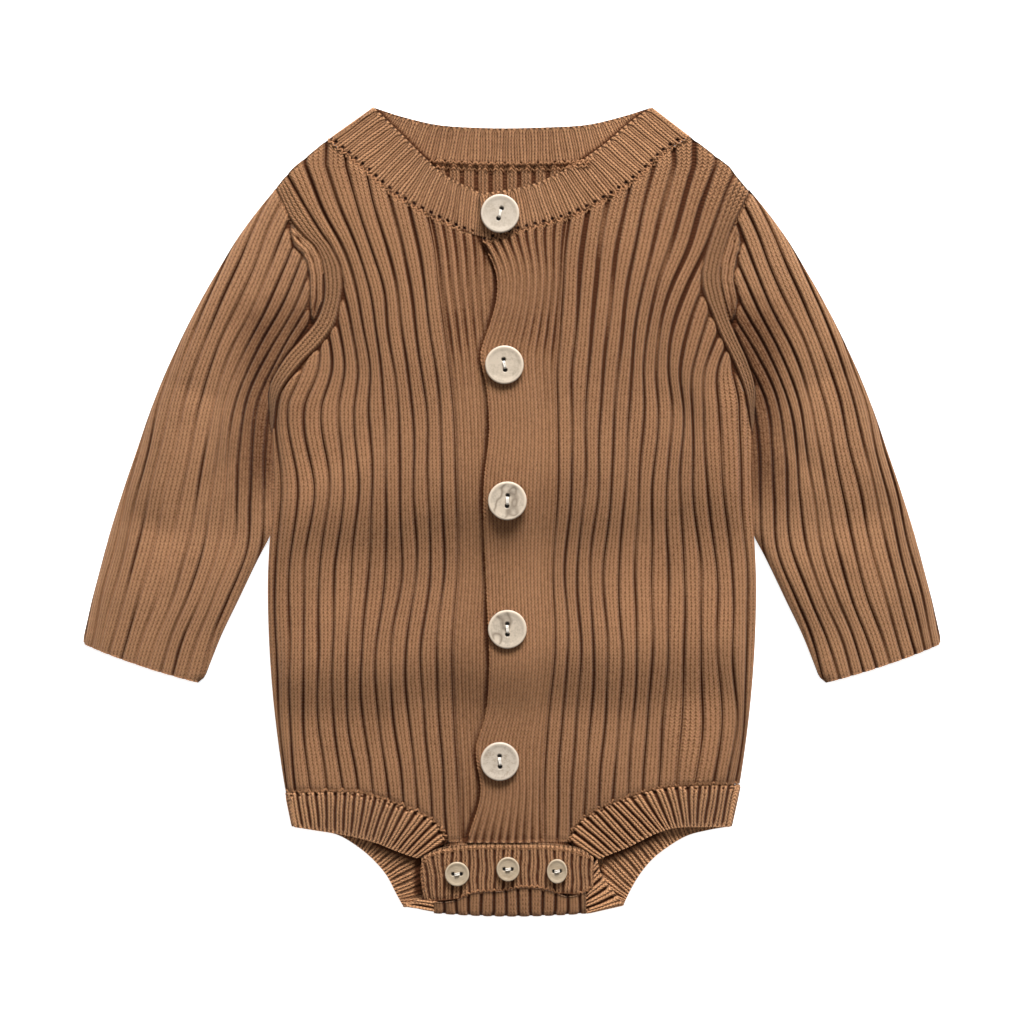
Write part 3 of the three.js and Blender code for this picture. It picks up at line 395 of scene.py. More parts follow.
def back_outline():
    def half(arm, top, leg):
        side = [(side_half(y), y) for y in np.arange(50, top, -12)]
        return [
            *BACK_NECK[::-1],
            SHOULDER,
            *zip(arm["x"][:-1], arm["y"][:-1]),
            *side,
            (side_half(top), top),
            *leg,
            (FLAP_HALF, FLAP_FOLD + 12),
        ]

    right = [(-x, y) for x, y in half(ARMHOLE_RIGHT, -133.9, BACK_LEG_RIGHT)]
    return right + half(ARMHOLE_LEFT, -129.8, BACK_LEG_LEFT)[::-1]


def back_rails(u, y):
    return u * side_half(y) / HIP_HALF, y


def back_sheet():
    outline = back_outline()
    wide = [(x * 1.03 if abs(x) > 110 and y < 58 else x, y) for x, y in outline]
    edge = HIP_HALF - 0.2
    u = np.unique(np.clip((rib_columns(-16.5, 17.5) - 0.5) * BACK_PITCH, -edge, edge))
    u, low, high = span(wide, back_rails, u, -200, 200)
    t = np.concatenate([[0, 0.01, 0.03], np.linspace(0.06, 0.94, 24), [0.97, 0.99, 1]])[:, None]
    y = low + (high - low) * t
    x, y = back_rails(u[None, :], y)
    rib = u[None, :] / BACK_PITCH + 0.5 + 0 * y
    rise = wide_rib(rib, BACK_PITCH, 0.9)
    top = WALL - 1.1 * (1 - rise)
    thick = smooth(0, 2.5, 116.5 - np.abs(u[None, :])) + 0 * y
    outer = np.stack([x, y, 0 * x], -1)
    inner = np.stack([x, y, np.minimum(top, 0.5 + 1.3 * thick)], -1)
    stitch = np.stack([4 * rib, y / COURSE], -1)
    return {"outer": outer, "inner": inner, "stitch": stitch, "furrow": 0.78 * (1 - rise)}, outline


FLAP_TURN = [180, 180, 160, 135, 112, 90, 68, 45, 20, 0, 0]
FLAP_IN = [16, 2.7, 2.7, 2.7, 2.7, 2.7, 2.7, 2.7, 2.7, 2.7, 10.4]
FLAP_LIFT = [0, 0, 0.1, 0.2, 0.4, 0.6, 0.8, 1, 1.2, 1.4, 2.1]
FLAP_BOW = [1, 1, 1, 1, 1, 1, 1, 1, 1, 1, 0]
FLAP_PITCH = 5.9


flap_seam = spline(
    [-43, -26, -21, -3.6, 4, 16.6, 27.6, 33, 41.5],
    [-186.2, -185.3, -182.9, -181, -179.5, -180.5, -183.8, -182.4, -178.1],
)


def flap_sheet():
    """The turned-up end of the back, its ribs running over the fold."""
    x = (rib_columns(-6.2, 6.2)[None, :] - 0.5) * FLAP_PITCH
    x = x[(x > -FLAP_HALF) & (x < FLAP_HALF - 2)][None, :]
    x = np.concatenate([[[-FLAP_HALF]], x, [[FLAP_HALF - 2]]], axis=1)
    step = np.linspace(0, len(FLAP_TURN) - 1, 61)[:, None]
    knots = np.arange(len(FLAP_TURN))
    turn, back, lift, bow = (
        np.interp(step, knots, column) for column in (FLAP_TURN, FLAP_IN, FLAP_LIFT, FLAP_BOW)
    )
    rib = x / FLAP_PITCH + 0.5 + 0.04 * np.sin(step * 1.3 + x * 0.2)
    rise = wide_rib(rib, FLAP_PITCH, 0.3)
    base = FLAP_FOLD + bow * 1.6 * (x / FLAP_HALF) ** 2 + back
    base = base + smooth(9, 10, step) * (flap_seam(x) - FLAP_FOLD - FLAP_IN[-1])
    sheets = []
    for side in (1, 0):
        up = (1 + np.cos(np.radians(turn))) / 2
        shown = smooth(0.55, 1, up)
        raised = shown * (RIB_RISE * rise - FURROW_CUT * (1 - rise))
        out, z, _ = turned(turn, lift, TURN_RADIUS, TURN_MIDDLE, side * (WALL + raised))
        sheets.append(np.stack([x + 0 * z, base - out, z], -1))
    rows = run(sheets[0][:, 60])[:, None] / COURSE
    stitch = np.stack([4 * rib, rows + 0 * rib], -1)
    return {"outer": sheets[0], "inner": sheets[1], "stitch": stitch, "furrow": 1 - rise}


back_cloth, back_cut = back_sheet()
back = shell("back_knit", [back_cloth, flap_sheet()])
back.data.materials.append(body_knit)
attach(back, "root")
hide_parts("back_panel")

# ------------------------------------------------------------------ fronts
# Two fronts in the same wide ribs, each with a plain strip down the middle. The wearer's left
# laps over the right. Along the armhole runs one unbroken rib, against which the others end.
FRONT_IN = WALL + GAP
LAP = WALL + GAP
STRIP_WALES = 19
CROTCH_SEAM = -158
# Where the furrows run, measured outwards from the middle line: at the edge of the plain strip
# (rib 0) and after 4, 8 and 12 ribs.
RAIL_Y = [-160, -124, -104, -66, -28, 10, 49, 68, 87, 107, 126, 145, 166]
RIGHT_RAILS = dict(
    r0=[25, 26.2, 27.6, 28.6, 26.2, 26.6, 28.1, 30, 32.4, 35.2, 37.2, 41, 45],
    r4=[50, 53.5, 56.4, 57.8, 53, 53.5, 54.5, 56.4, 59.3, 61.9, 67.4, 73.7, 79.5],
    r8=[78, 82.3, 85.2, 85.7, 84.7, 80.3, 82.8, 80, 83, 88.1, 94, 107.5, 120],
    r12=[104, 109, 111.1, 113, 113.5, 110.6, 113, 111, 112, 115, 122, 142, 160],
    last=12.5,
)
LEFT_RAILS = dict(
    r0=[15.6, 15.6, 17, 20.4, 19.5, 21.8, 21.8, 21.4, 22.8, 24.2, 25.2, 28, 33],
    r4=[40, 42.5, 44.4, 45.4, 43.9, 47.3, 49.2, 50.6, 52.6, 55.4, 58.8, 62.6, 68],
    r8=[68, 70.8, 71.8, 74.6, 74.6, 73.7, 76.4, 74.6, 77, 83.5, 92.6, 99.6, 108],
    r12=[96, 103.9, 107.3, 105.4, 105.4, 101, 98.6, 98.7, 106, 115, 127, 139, 152],
    last=13.6,
)
LAP_EDGE = dict(
    y=[-158, -134, -112, -98, -75, -40, 15, 40, 60, 76, 88, 100, 115, 122, 129, 190],
    x=[-21.6, -15, -17, -12.8, -10.8, -12, -13.2, -10.8, -12.2, -14.8, -11, -7.6, -7.8, -10.5, -14.4, -15],
)
RIGHT_NECK = [
    (5, 126), (-6, 129.2), (-16, 132.2), (-22, 134), (-40, 142.3), (-56.4, 151.7), (-72, 165.2),
    (-88.4, 178.2),
]
LEFT_NECK = [
    (-14, 128.8), (0, 133.2), (15, 137.5), (30, 142.2), (46.3, 150.5), (60, 159.9), (74.6, 173.3),
    (85.4, 179.6),
]
RIGHT_LEG = [
    (-120, -134.6), (-94, -133.8), (-72, -134.4), (-57.4, -138.8), (-42, -145), (-35.3, -149.9),
    (-31.2, CROTCH_SEAM),
]
LEFT_LEG = [
    (120, -130), (92, -130.6), (70.3, -132.2), (54.5, -136.8), (38, -144), (30.4, -150),
    (27.2, CROTCH_SEAM),
]
# Cross folds: how far the front stands off the back down its length, steeper on the lower side.
FOLDS = dict(
    y=[-200, -158, -140, -125, -110, -101, -94, -87, -80, -74, -68, -58, -45, -37, -30, -23, -16, -9, -2,
       5, 12, 20, 32, 50, 80, 110, 150, 200],
    z=[0, 0.4, 1, 1.3, 0.7, 0.3, 0.5, 1.8, 3.4, 4.5, 4.9, 4, 2.2, 0.9, 0.3, 0.3, 0.9, 2.2, 3.7,
       4.7, 5.1, 5, 4, 2.6, 1.7, 1.4, 0.8, 0.2],
)
FOLD_TILT = 0.08
# Shallow creases laid on them: middle, direction in degrees, half length, half width, depth.
CREASES = [
    (-86, 26, 38, 24, 9, 1.6),
    (-74, 64, 60, 24, 7, 0.8),
    (80, 48, 128, 30, 10, 2.0),
    (66, 86, 96, 24, 8, 0.9),
    (-94, -46, 70, 20, 7, 0.7),
    (96, -34, 104, 24, 7, 0.7),
    (-52, -54, -8, 24, 8, -0.4),
    (44, -64, 10, 26, 8, -0.4),
    (-66, -120, 66, 22, 8, 0.8),
    (70, -118, 116, 22, 8, 0.9),
    (-20, 98, 80, 24, 5, 0.8),
    (-18, -108, 96, 22, 5, 0.7),
    (20, 26, 84, 34, 6, 0.5),
    (24, -50, 84, 30, 6, 0.5),
]
fold_rise = spline(FOLDS["y"], FOLDS["z"])
lap_edge = spline(LAP_EDGE["y"], LAP_EDGE["x"])


def creased(x, y, creases):
    """How deep a set of shallow creases sinks the cloth."""
    sunk = 0
    for cx, cy, angle, long, wide, deep in creases:
        c, s = math.cos(math.radians(angle)), math.sin(math.radians(angle))
        along = ((x - cx) * c + (y - cy) * s) / long
        aside = ((y - cy) * c - (x - cx) * s) / wide
        sunk = sunk + deep * np.exp(-(along**2) * 1.5 - aside**2)
    return sunk


def cloth_rise(x, y):
    """How far the inside of a front stands above where it would touch the back."""
    lean = FOLD_TILT * x * (0.7 + 0.3 * np.tanh(y / 60))
    rise = fold_rise(y - lean + 1.8 * np.sin(x / 23) + 1.2 * np.sin(x / 9.5 + 2))
    edge = side_half(y) - np.abs(x)
    return np.maximum(rise - creased(x, y, CREASES), 0) * smooth(0, 11, edge)


def lap_rise(x):
    return LAP * (1 - smooth(7, 16, x))


def roll(edge, width, drop):
    """How far a face drops where it rolls over towards a folded edge."""
    part = np.clip(1 - edge / width, 0, 1)
    return drop * (1 - np.sqrt(1 - part * part * 0.98))


def across(u, knots, columns):
    """A smooth curve sideways through the columns of a table, at rib coordinate u."""
    knots = np.array(knots, float)
    value = np.stack(columns, -1)
    slope = np.gradient(value, knots, axis=-1)
    i = np.clip(np.searchsorted(knots, u) - 1, 0, len(knots) - 2)
    width = (knots[1:] - knots[:-1])[i]
    s = (u - knots[i]) / width
    pick = lambda table, k: np.take_along_axis(table, k[..., None], -1)[..., 0]
    low = pick(value, i) * (1 + 2 * s) * (1 - s) ** 2 + pick(slope, i) * width * s * (1 - s) ** 2
    return low + pick(value, i + 1) * s * s * (3 - 2 * s) + pick(slope, i + 1) * width * s * s * (s - 1)


def to_line(x, y, line):
    """Distance of points from a broken line."""
    best = np.full(np.shape(x), 1e9)
    for (ax, ay), (bx, by) in zip(line[:-1], line[1:]):
        dx, dy = bx - ax, by - ay
        t = np.clip(((x - ax) * dx + (y - ay) * dy) / (dx * dx + dy * dy), 0, 1)
        best = np.minimum(best, np.hypot(x - ax - t * dx, y - ay - t * dy))
    return best


def mirrored(side, xs, ys):
    return [(side * x, y) for x, y in zip(xs, ys)]


def pitch_at(place, u, y):
    """How wide a rib is at each point, measured level."""
    return np.abs(place(u + 0.02, y)[0] - place(u - 0.02, y)[0]) / 0.04


def rib_tip(u):
    """How far a rib's rounded end draws back from its middle, 0 to 1."""
    return (2 * np.abs(u - np.floor(u) - 0.5)) ** 2


def rib_rails(table, side, front_edge):
    """Where rib u lies at height y; below 0 it counts down across the plain strip."""
    columns = [spline(RAIL_Y, table[key]) for key in ("r0", "r4", "r8", "r12")]
    knots = [0, 4, 8, 12, table["last"]]

    def place(u, y):
        u = u + 0 * y
        y = y + 0 * u
        row = [column(y) for column in columns]
        hem = side_half(y)
        row.append(hem + smooth(50, 80, y) * (row[-1] + 8 - hem))
        sway = 0.17 * np.sin(y / 7.3 + u * 2.3) + 0.2 * np.sin(y / 12 + u * 0.4)
        sway = sway * smooth(0, 0.8, u) * smooth(0, 0.8, table["last"] - u)
        ribbed = across(np.maximum(u, 0), knots, row) + sway
        plain = side * row[0] + (front_edge(y) - side * row[0]) * -u
        return np.where(u < 0, plain, side * ribbed), y

    return place


def front_rows(low, high):
    """Heights of a front's rows, closest together beside the armhole."""
    t = np.linspace(0, 1, 180)[:, None]
    bend = np.minimum(103, high - 1)
    knee = np.minimum(40, bend - 1)
    y = np.where(t < 0.52, low + (knee - low) * t / 0.52, knee + (bend - knee) * (t - 0.52) / 0.27)
    return np.where(t < 0.79, y, bend + (high - bend) * (t - 0.79) / 0.21)


def gathered_wales(x, y, u, neck):
    """Fine wales of the plain strip. Two and two they draw together where it is gathered: below the
    neck, at the second button and above the crotch, further down the nearer they lie to the ribs."""
    wale = -u * STRIP_WALES
    neck_x, neck_y = np.array(sorted(neck), float).T
    below = np.interp(x, neck_x, neck_y) - y
    near_ribs = (1 + u) ** 2
    drawn = np.exp(-np.maximum(below - 4, 0) / (11 + 60 * near_ribs))
    drawn = drawn + 0.9 * np.exp(-np.maximum(y + 156, 0) / (12 + 26 * near_ribs))
    drawn = drawn + 0.45 * np.exp(-(((y - 84 + 8 * u) / 10) ** 2)) * (0.4 + near_ribs)
    pair = (0.5 - 0.5 * np.cos(np.pi * (wale + 0.25 * np.sin(y / 17)))) ** 2
    single = 0.5 - 0.5 * np.cos(2 * np.pi * wale)
    gather = np.where(u < 0, np.clip(drawn, 0, 1) * pair, 0)
    return wale, pair, single, gather


def front_sheets(side, rails, arm, front_edge, neck, leg, lift, under):
    """One front and its armhole band; the one that lies under is pressed flat below the lap."""
    place = rib_rails(rails, side, front_edge)
    seam = mirrored(side, arm["x"], arm["y"])
    inner_line = mirrored(side, arm["in_x"], arm["in_y"])
    tucked_line = [
        (ix + 0.3 * (sx - ix), iy + 0.3 * (sy - iy)) for (sx, sy), (ix, iy) in zip(seam, inner_line)
    ]
    shoulder = (side * (SHOULDER[0] - 1.6), SHOULDER[1] + 1.4)
    foot = [
        (side * 126, 36),
        *leg,
        (front_edge(CROTCH_SEAM) - side * 4, CROTCH_SEAM),
        (front_edge(neck[0][1]) - side * 4, neck[0][1] - 1.5),
    ]
    plain = np.linspace(-1, 0, 4 * STRIP_WALES + 1)[:-1]
    u = np.concatenate([plain, rib_columns(0, rails["last"])])
    u, low, high = span([*neck, shoulder, *tucked_line, *foot], place, u, -200, 200)
    y = front_rows(low, high)
    uu = u[None, :] + 0 * y
    x, _ = place(uu, y)
    pitch = pitch_at(place, uu, y)
    gape = 0.16 + 0.1 * np.sin(y / 11 + uu * 2.9)
    gape = gape + smooth(40, 125, y) * (0.3 + 0.2 * side + 0.25 * np.sin(y / 23 + uu * 1.3))
    rise = np.where(uu < 0, 1, wide_rib(uu, pitch, np.maximum(gape, 0.08)))
    rise = np.where((uu > -0.06) & (uu < 0), smooth(0, 0.06, -uu), rise)
    # Against the armhole band each rib ends in a rounded tip.
    ribbed = inside([*neck, shoulder, *inner_line, *foot], x, y)
    away = to_line(x, y, inner_line) * np.where(ribbed, 1, -1)
    tip = 2 * rib_tip(uu) * smooth(120, 104, y)
    rise = rise * np.where(y > 40, smooth(-0.2, 0.7, away - tip), 1)
    # The furrows lie more or less in shade down their length.
    furrow_shade_level = 0.85 + 0.16 * np.sin(y / 19 + uu * 1.9) + 0.1 * np.sin(y / 7 + uu * 5.3)
    ends = np.minimum(high - y, y - low)
    rise = rise * np.where((y < 40) | (np.abs(x) < 78), 0.35 + 0.65 * smooth(0, 2.2, ends), 1)
    wale, pair, single, gather = gathered_wales(x, y, uu, neck)
    fine = np.where(uu < 0, -0.3 * single - 1.1 * gather, 0)
    stand = FRONT_IN + cloth_rise(x, y) + lift(x)
    edge = side_half(y) - np.abs(x)
    drop = np.where(y < 58, roll(edge, 6, 2.4), 0)
    drop = drop + roll(to_line(x, y, [neck[-1], shoulder, seam[0]]), 2.4, 1.3)
    if under:
        tucked = smooth(2.6, 1.0, lap_edge(y) - x)
        relief = (RIB_RISE * rise + fine) * (1 - tucked)
        relief = relief - np.where(uu >= 0, FURROW_CUT * (1 - rise), 0)
    else:
        relief = RIB_RISE * rise - np.where(uu < 0, 0, FURROW_CUT * (1 - rise)) + fine
        drop = drop + roll(np.abs(x - front_edge(y)), 1.6, 1.5)
    outer = np.stack([x, y, stand + np.maximum(WALL + relief - drop, 0.5)], -1)
    inner = np.stack([x, y, stand + 0 * x], -1)
    stitch = np.stack([np.where(uu < 0, wale, 4 * uu), y / COURSE], -1)
    # Painted shade: down the furrows, in the gathers of the plain strip and between its fine wales.
    hollow_shade = np.where(uu < 0, 0.8 * gather + 0.14 * pair + 0.2 * single, (1 - rise) * furrow_shade_level)
    if under:
        # A painted shadow darkens the under front beside the lap's edge.
        beside = lap_edge(y) - x
        lap_shadow = 0.82 + 0.16 * np.sin(y / 13) + 0.1 * np.sin(y / 5)
        hollow_shade = np.maximum(hollow_shade, lap_shadow * smooth(4.6, 0.2, beside) * smooth(-3, -1, beside))
    panel = {"outer": outer, "inner": inner, "stitch": stitch, "furrow": hollow_shade}
    return [panel, arm_band(side, arm, lift)]


def arm_band(side, arm, lift):
    """The unbroken rib along the armhole, from its seam to the line where the other ribs end."""
    steps = run(mirrored(1, arm["x"], arm["y"]))
    along = np.linspace(0, steps[-1], 100)[:, None]
    part = np.linspace(-0.04, 1.06, 18)[None, :]
    sx, sy, ix, iy = (spline(steps, arm[key])(along) for key in ("x", "y", "in_x", "in_y"))
    x = side * (sx + (ix - sx) * part)
    y = sy + (iy - sy) * part
    rise = smooth(-0.02, 0.15, part) * smooth(1.04, 0.84, part) + 0 * y
    stand = FRONT_IN + cloth_rise(x, y) + lift(x)
    drop = roll(along, 3, 1.6) + 0.2 * np.sin(np.pi * np.clip(part, 0, 1)) - 0.2
    outer = np.stack([x, y, stand + WALL + RIB_RISE * rise - FURROW_CUT * (1 - rise) - drop], -1)
    inner = np.stack([x, y, stand], -1)
    stitch = np.stack([4.6 * part + 0.3 + 0 * y, along / COURSE + 0 * part], -1)
    return {"outer": outer, "inner": inner, "stitch": stitch, "furrow": 1 - rise}


right_sheets = front_sheets(
    -1, RIGHT_RAILS, ARMHOLE_RIGHT, lambda y: 5 + 0 * y, RIGHT_NECK, RIGHT_LEG, lambda x: 0 * x, True
)
left_sheets = front_sheets(
    1, LEFT_RAILS, ARMHOLE_LEFT, lap_edge, LEFT_NECK, LEFT_LEG, lap_rise, False
)
for name, sheets, node, width in (
    ("front_right_knit", right_sheets, "front_right", 0.122),
    ("front_left_knit", left_sheets, "front_left", 0.137),
):
    front = shell(name, sheets)
    front.data.materials.append(body_knit)
    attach(front, "root")
    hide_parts(node)
    width * 0.336 * 0.84

# ------------------------------------------------------------------ sleeves
# Each sleeve is one ribbed piece, folded into a flat tube. Its ribs run beside the upper fold and
# slip away one by one round it and round the under-arm fold; a short edge band follows the armhole.
OUTER_FOLD = dict(
    x=[113.6, 121.5, 128.7, 140.7, 151.6, 161.1, 171.4, 179.8, 187.9, 195.2, 201.5, 205.8],
    y=[154.6, 145, 135.4, 116.2, 97, 77.8, 53.8, 29.8, 5.8, -18.2, -42.2, -61.4],
)
INNER_FOLD = [
    (150.5, -81), (148.8, -80.3), (147.3, -78.6), (145.7, -74.8), (143.2, -68.5), (140.4, -61.4),
    (131.3, -42.2), (120.6, -20), (116.2, -11.5), (114.6, -6), (113.9, 12), (113.9, 35), (114.2, 58),
]
# The cast-on edge of the cuff, a little bowed.
CUFF = [
    (220, -57.6), (205, -63.3), (195, -67.5), (185.5, -71), (172, -75.6), (158.6, -79.6), (150.5, -81.8),
    (136, -85),
]
# How far furrows 2, 5, 8 and 11 lie inside the outer fold.
SLEEVE_RAILS = dict(
    y=[-80, -61, -42, -18, 6, 30, 54, 78, 97, 116, 135, 160],
    r2=[15, 14.9, 15.6, 15.8, 13.6, 11.4, 8, 5.9, 3.8, 1.5, -2.5, -9],
    r5=[35, 35.6, 39, 39.8, 36.9, 33.1, 29.3, 27.3, 27.3, 24.5, 20, 13],
    r8=[54, 54.8, 59, 61.4, 56.1, 49.2, 44.8, 45.6, 47, 44.4, 41, 35],
    r11=[76, 77, 79, 81.5, 75, 68.5, 62.5, 61.6, 65, 63, 61, 56],
)
SLEEVE_RISE = dict(
    y=[-80, -56, -40, -24, -8, 12, 34, 56, 80, 104, 130, 160],
    z=[1.2, 1.6, 2.8, 2.4, 1.2, 2.6, 3.2, 1.8, 1.6, 2.4, 1.8, 0.8],
)
SLEEVE_CREASES = [
    (133, 96, 122, 14, 4, 0.9),
    (150, 60, 20, 20, 5, 0.9),
    (138, 24, 132, 22, 5, 1.0),
    (168, -6, 24, 20, 6, 0.9),
    (158, -34, 130, 18, 5, 0.8),
    (172, 14, 150, 14, 5, -0.5),
]
sleeve_knit = knit("sleeve wool", lit=(0.477, 0.245, 0.121, 1))


FOLD_END_Y = -61.4  # where the outer fold meets the cuff
outer_line = mirrored(1, OUTER_FOLD["x"], OUTER_FOLD["y"])
outer_fold = spline(OUTER_FOLD["y"][::-1], OUTER_FOLD["x"][::-1])
sleeve_columns = [spline(SLEEVE_RAILS["y"], SLEEVE_RAILS[key]) for key in ("r2", "r5", "r8", "r11")]
sleeve_rise = spline(SLEEVE_RISE["y"], SLEEVE_RISE["z"])
cuff_line = spline(*np.array(CUFF[::-1]).T)


def sleeve_rails(u, y):
    """Where rib u of a sleeve lies at height y."""
    u = u + 0 * y
    y = y + 0 * u
    fold = outer_fold(y) + np.maximum(FOLD_END_Y - y, 0) * 0.26
    row = [fold - column(y) for column in sleeve_columns]
    row = [2 * row[0] - row[1] + (row[0] - row[1]) * -0.33, *row]
    sway = 0.2 * np.sin(y / 7.9 + u * 2.3) + 0.2 * np.sin(y / 14 + u * 0.5)
    return across(u, [-1.0, 2, 5, 8, 11], row) + sway, y


def even(line, count):
    """Evenly spaced points along a line."""
    line = np.array(line, float)
    steps = run(line)
    at = np.linspace(0, steps[-1], count)
    return np.stack([np.interp(at, steps, line[:, 0]), np.interp(at, steps, line[:, 1])], -1)


def sleeve_under(side, seam):
    """The plain under layer, flat on the table."""
    far = even([*outer_line, (205.6, -62.5)], 80)
    beside = [(max(x, 115.6), y) for x, y in INNER_FOLD[::-1]]
    close = even([(x + 0.6, y) for x, y in [*seam, *beside]], 80)
    s = np.linspace(0, 1, 12)[None, :, None]
    flat = far[:, None] * (1 - s) + close[:, None] * s
    base = np.stack([side * flat[..., 0], flat[..., 1], 0 * flat[..., 0]], -1)
    return {
        "outer": base,
        "inner": base + [0, 0, WALL],
        "stitch": base[..., :2] / COURSE,
        "furrow": base[..., 0] * 0,
    }


def sleeve_sheets(side, arm):
    """The ribbed upper layer of a sleeve, from cuff to armhole, and the under layer."""
    # A rail that slips round a fold or under the arm is held there, so the edges stay whole.
    seam = [(x - 0.3, y) for x, y in zip(arm["x"][:-1], arm["y"][:-1])]
    near_side = [(x, y) for x, y in INNER_FOLD if y < 50]
    near_side += [(x, y) for x, y in seam[::-1] if y < 95]
    under_arm = near_side + [(x, y) for x, y in seam[::-1] if 95 <= y < 112]
    limit = spline(*np.array([(y, x) for x, y in under_arm]).T)
    reached = [(x + 14, y) for x, y in outer_line] + CUFF
    reached += [(x - 14, y) for x, y in near_side] + [(x, y) for x, y in seam[::-1] if y >= 95]
    u, low, high = span(reached, sleeve_rails, rib_columns(-0.9, 10.95), -100, 170)
    y = low + (high - low) * np.linspace(0, 1, 150)[:, None]
    uu = u[None, :] + 0 * y
    x, _ = sleeve_rails(uu, y)
    pitch = pitch_at(sleeve_rails, uu, y)
    x = np.minimum(x, outer_fold(y) + np.minimum(y - FOLD_END_Y, 0) * 0.3)
    x = np.where(y < under_arm[-1][1], np.maximum(x, limit(y)), x)
    y = np.maximum(y, cuff_line(x))
    from_out = to_line(x, y, [*outer_line, (206, -64)])
    from_in = to_line(x, y, INNER_FOLD)
    near = np.minimum(from_out, from_in)
    rise = wide_rib(uu, pitch, 0.16 + 0.1 * np.sin(y / 8 + uu * 2.3))
    # The edge band beside the armhole, between the shoulder and the under-arm.
    away = to_line(x, y, seam)
    reach = 6.8 * smooth(84, 104, y) * smooth(143, 126, y)
    band = smooth(0, 1, reach - away) * smooth(1, 3, reach)
    ended = smooth(-0.2, 0.7, away - reach - 1.4 * rib_tip(uu))
    in_band = smooth(0.1, 1.1, away) * smooth(0, 1, reach - away)
    in_band = in_band * (1 - 0.9 * np.exp(-(((away - 0.5 * reach) / 0.5) ** 2)) * smooth(3, 5, reach))
    rise = rise * np.where(reach > 1, ended, smooth(0.1, 1.2, away)) * (1 - band) + band * in_band
    share = from_out / (from_out + from_in + 0.01)
    puff = sleeve_rise(y + 9 * (share - 0.5)) * np.sin(np.pi * np.clip(share, 0, 1)) ** 0.55
    puff = np.maximum(puff - creased(x, y - 3 * side, SLEEVE_CREASES), 0) * smooth(0, 7, near)
    # Pressed flat, the furrows close up here and there, and there their painted shade is paler.
    open_at = 0.7 + 0.1 * side + 0.2 * np.sin(y / 26 + uu * 1.7 + side)
    open_at = open_at + 0.12 * np.sin(y / 9 + uu * 4.9) + 0.25 * smooth(7, 10, uu)
    open_at = open_at + 0.2 * smooth(60, 120, y)
    rise = 1 - (1 - rise) * np.clip(open_at + 0.15, 0.5, 1)
    relief = RIB_RISE * rise - FURROW_CUT * (1 - rise) - roll(near, 4, 3.2)
    relief = relief - roll(y - low, 1.2, 0.7)
    outer = np.stack([side * x, y, FRONT_IN + puff + np.maximum(WALL + relief, 0.4)], -1)
    inner = np.stack([side * x, y, FRONT_IN + puff - 0.9 * (1 - smooth(0, 5, near))], -1)
    stitch = np.stack([np.where(band > 0.5, away / 1.7 + 0.5, 4 * uu), y / COURSE], -1)
    # The furrows take painted shade, lighter where they close up.
    hollow_shade = (1 - rise) * np.clip(open_at, 0.35, 1)
    # The valley beside the body, below the under-arm, lies in shade.
    valley = smooth(34, 6, x - 114) * smooth(-16, 22, y) * smooth(116, 88, y)
    hollow_shade = hollow_shade + (1 - hollow_shade) * 0.58 * valley
    top = {"outer": outer, "inner": inner, "stitch": stitch, "furrow": hollow_shade}
    return [top, sleeve_under(side, seam)]


for name, side, arm, node in (
    ("sleeve_right_knit", -1, ARMHOLE_RIGHT, "sleeve_right"),
    ("sleeve_left_knit", 1, ARMHOLE_LEFT, "sleeve_left"),
):
    sleeve = shell(name, sleeve_sheets(side, arm))
    sleeve.data.materials.append(sleeve_knit)
    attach(sleeve, "root")
    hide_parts(node)

# ------------------------------------------------------------------ neckband
# A strip in narrow ribs, knitted up from the stitches picked out of the neck edge. It is one
# length: from the lower front end, over both shoulder folds and the back, to the upper front end.
NECK_RIB = dict(pitch=5.5, crest=0.28, ground=0.72, rise=0.7, cut=0.35)
band_knit = knit("band wool", lit=(0.52, 0.266, 0.131, 1), bite=0.6, parted=1.1)
# Rows: free end x, y, seam end x, y, ribs raised, inside shown, lapped over.
NECK_UNDER = [
    (5, 147, 5, 126, 0, 0, 0),
    (-6, 150.3, -6, 129.2, 0, 0, 0),
    (-15, 152.8, -16, 132.2, 0.2, 0, 0),
    (-20, 155, -22, 134, 1, 0, 0),
    (-32.9, 161.8, -40, 142.3, 1, 0, 0),
    (-42, 169.9, -56.4, 151.7, 1, 0, 0),
    (-53, 181, -72, 165.2, 1, 0, 0),
    (-66.3, 194, -88.1, 178.5, 1, 0, 0),
]
NECK_BACK = [
    (-66.3, 194, -88.1, 178.5, 1, 0, 0),
    (-52, 189.4, -62, 170.4, 1, 0.4, 0),
    (-38, 186, -44, 167.7, 1, 1, 0),
    (-15, 184.2, -16, 166, 1, 1, 0),
    (15, 184.4, 16, 166, 1, 1, 0),
    (38, 186, 44, 167.7, 1, 1, 0),
    (52, 189.4, 62, 170.4, 1, 0.4, 0),
    (66.8, 194, 85, 180, 1, 0, 0),
]
NECK_OVER = [
    (66.8, 194, 85, 180, 1, 0, 1),
    (57.8, 187.7, 74.6, 173.3, 1, 0, 1),
    (43, 175.2, 60, 159.9, 1, 0, 1),
    (31.9, 167.5, 46.3, 150.5, 1, 0, 1),
    (20.4, 161.3, 30, 142.2, 1, 0, 1),
    (9.4, 156.5, 15, 137.5, 1, 0, 1),
    (-3, 153.8, 0, 133.2, 1, 0, 1),
    (-15.5, 152, -14, 128.8, 1, 0, 1),
]


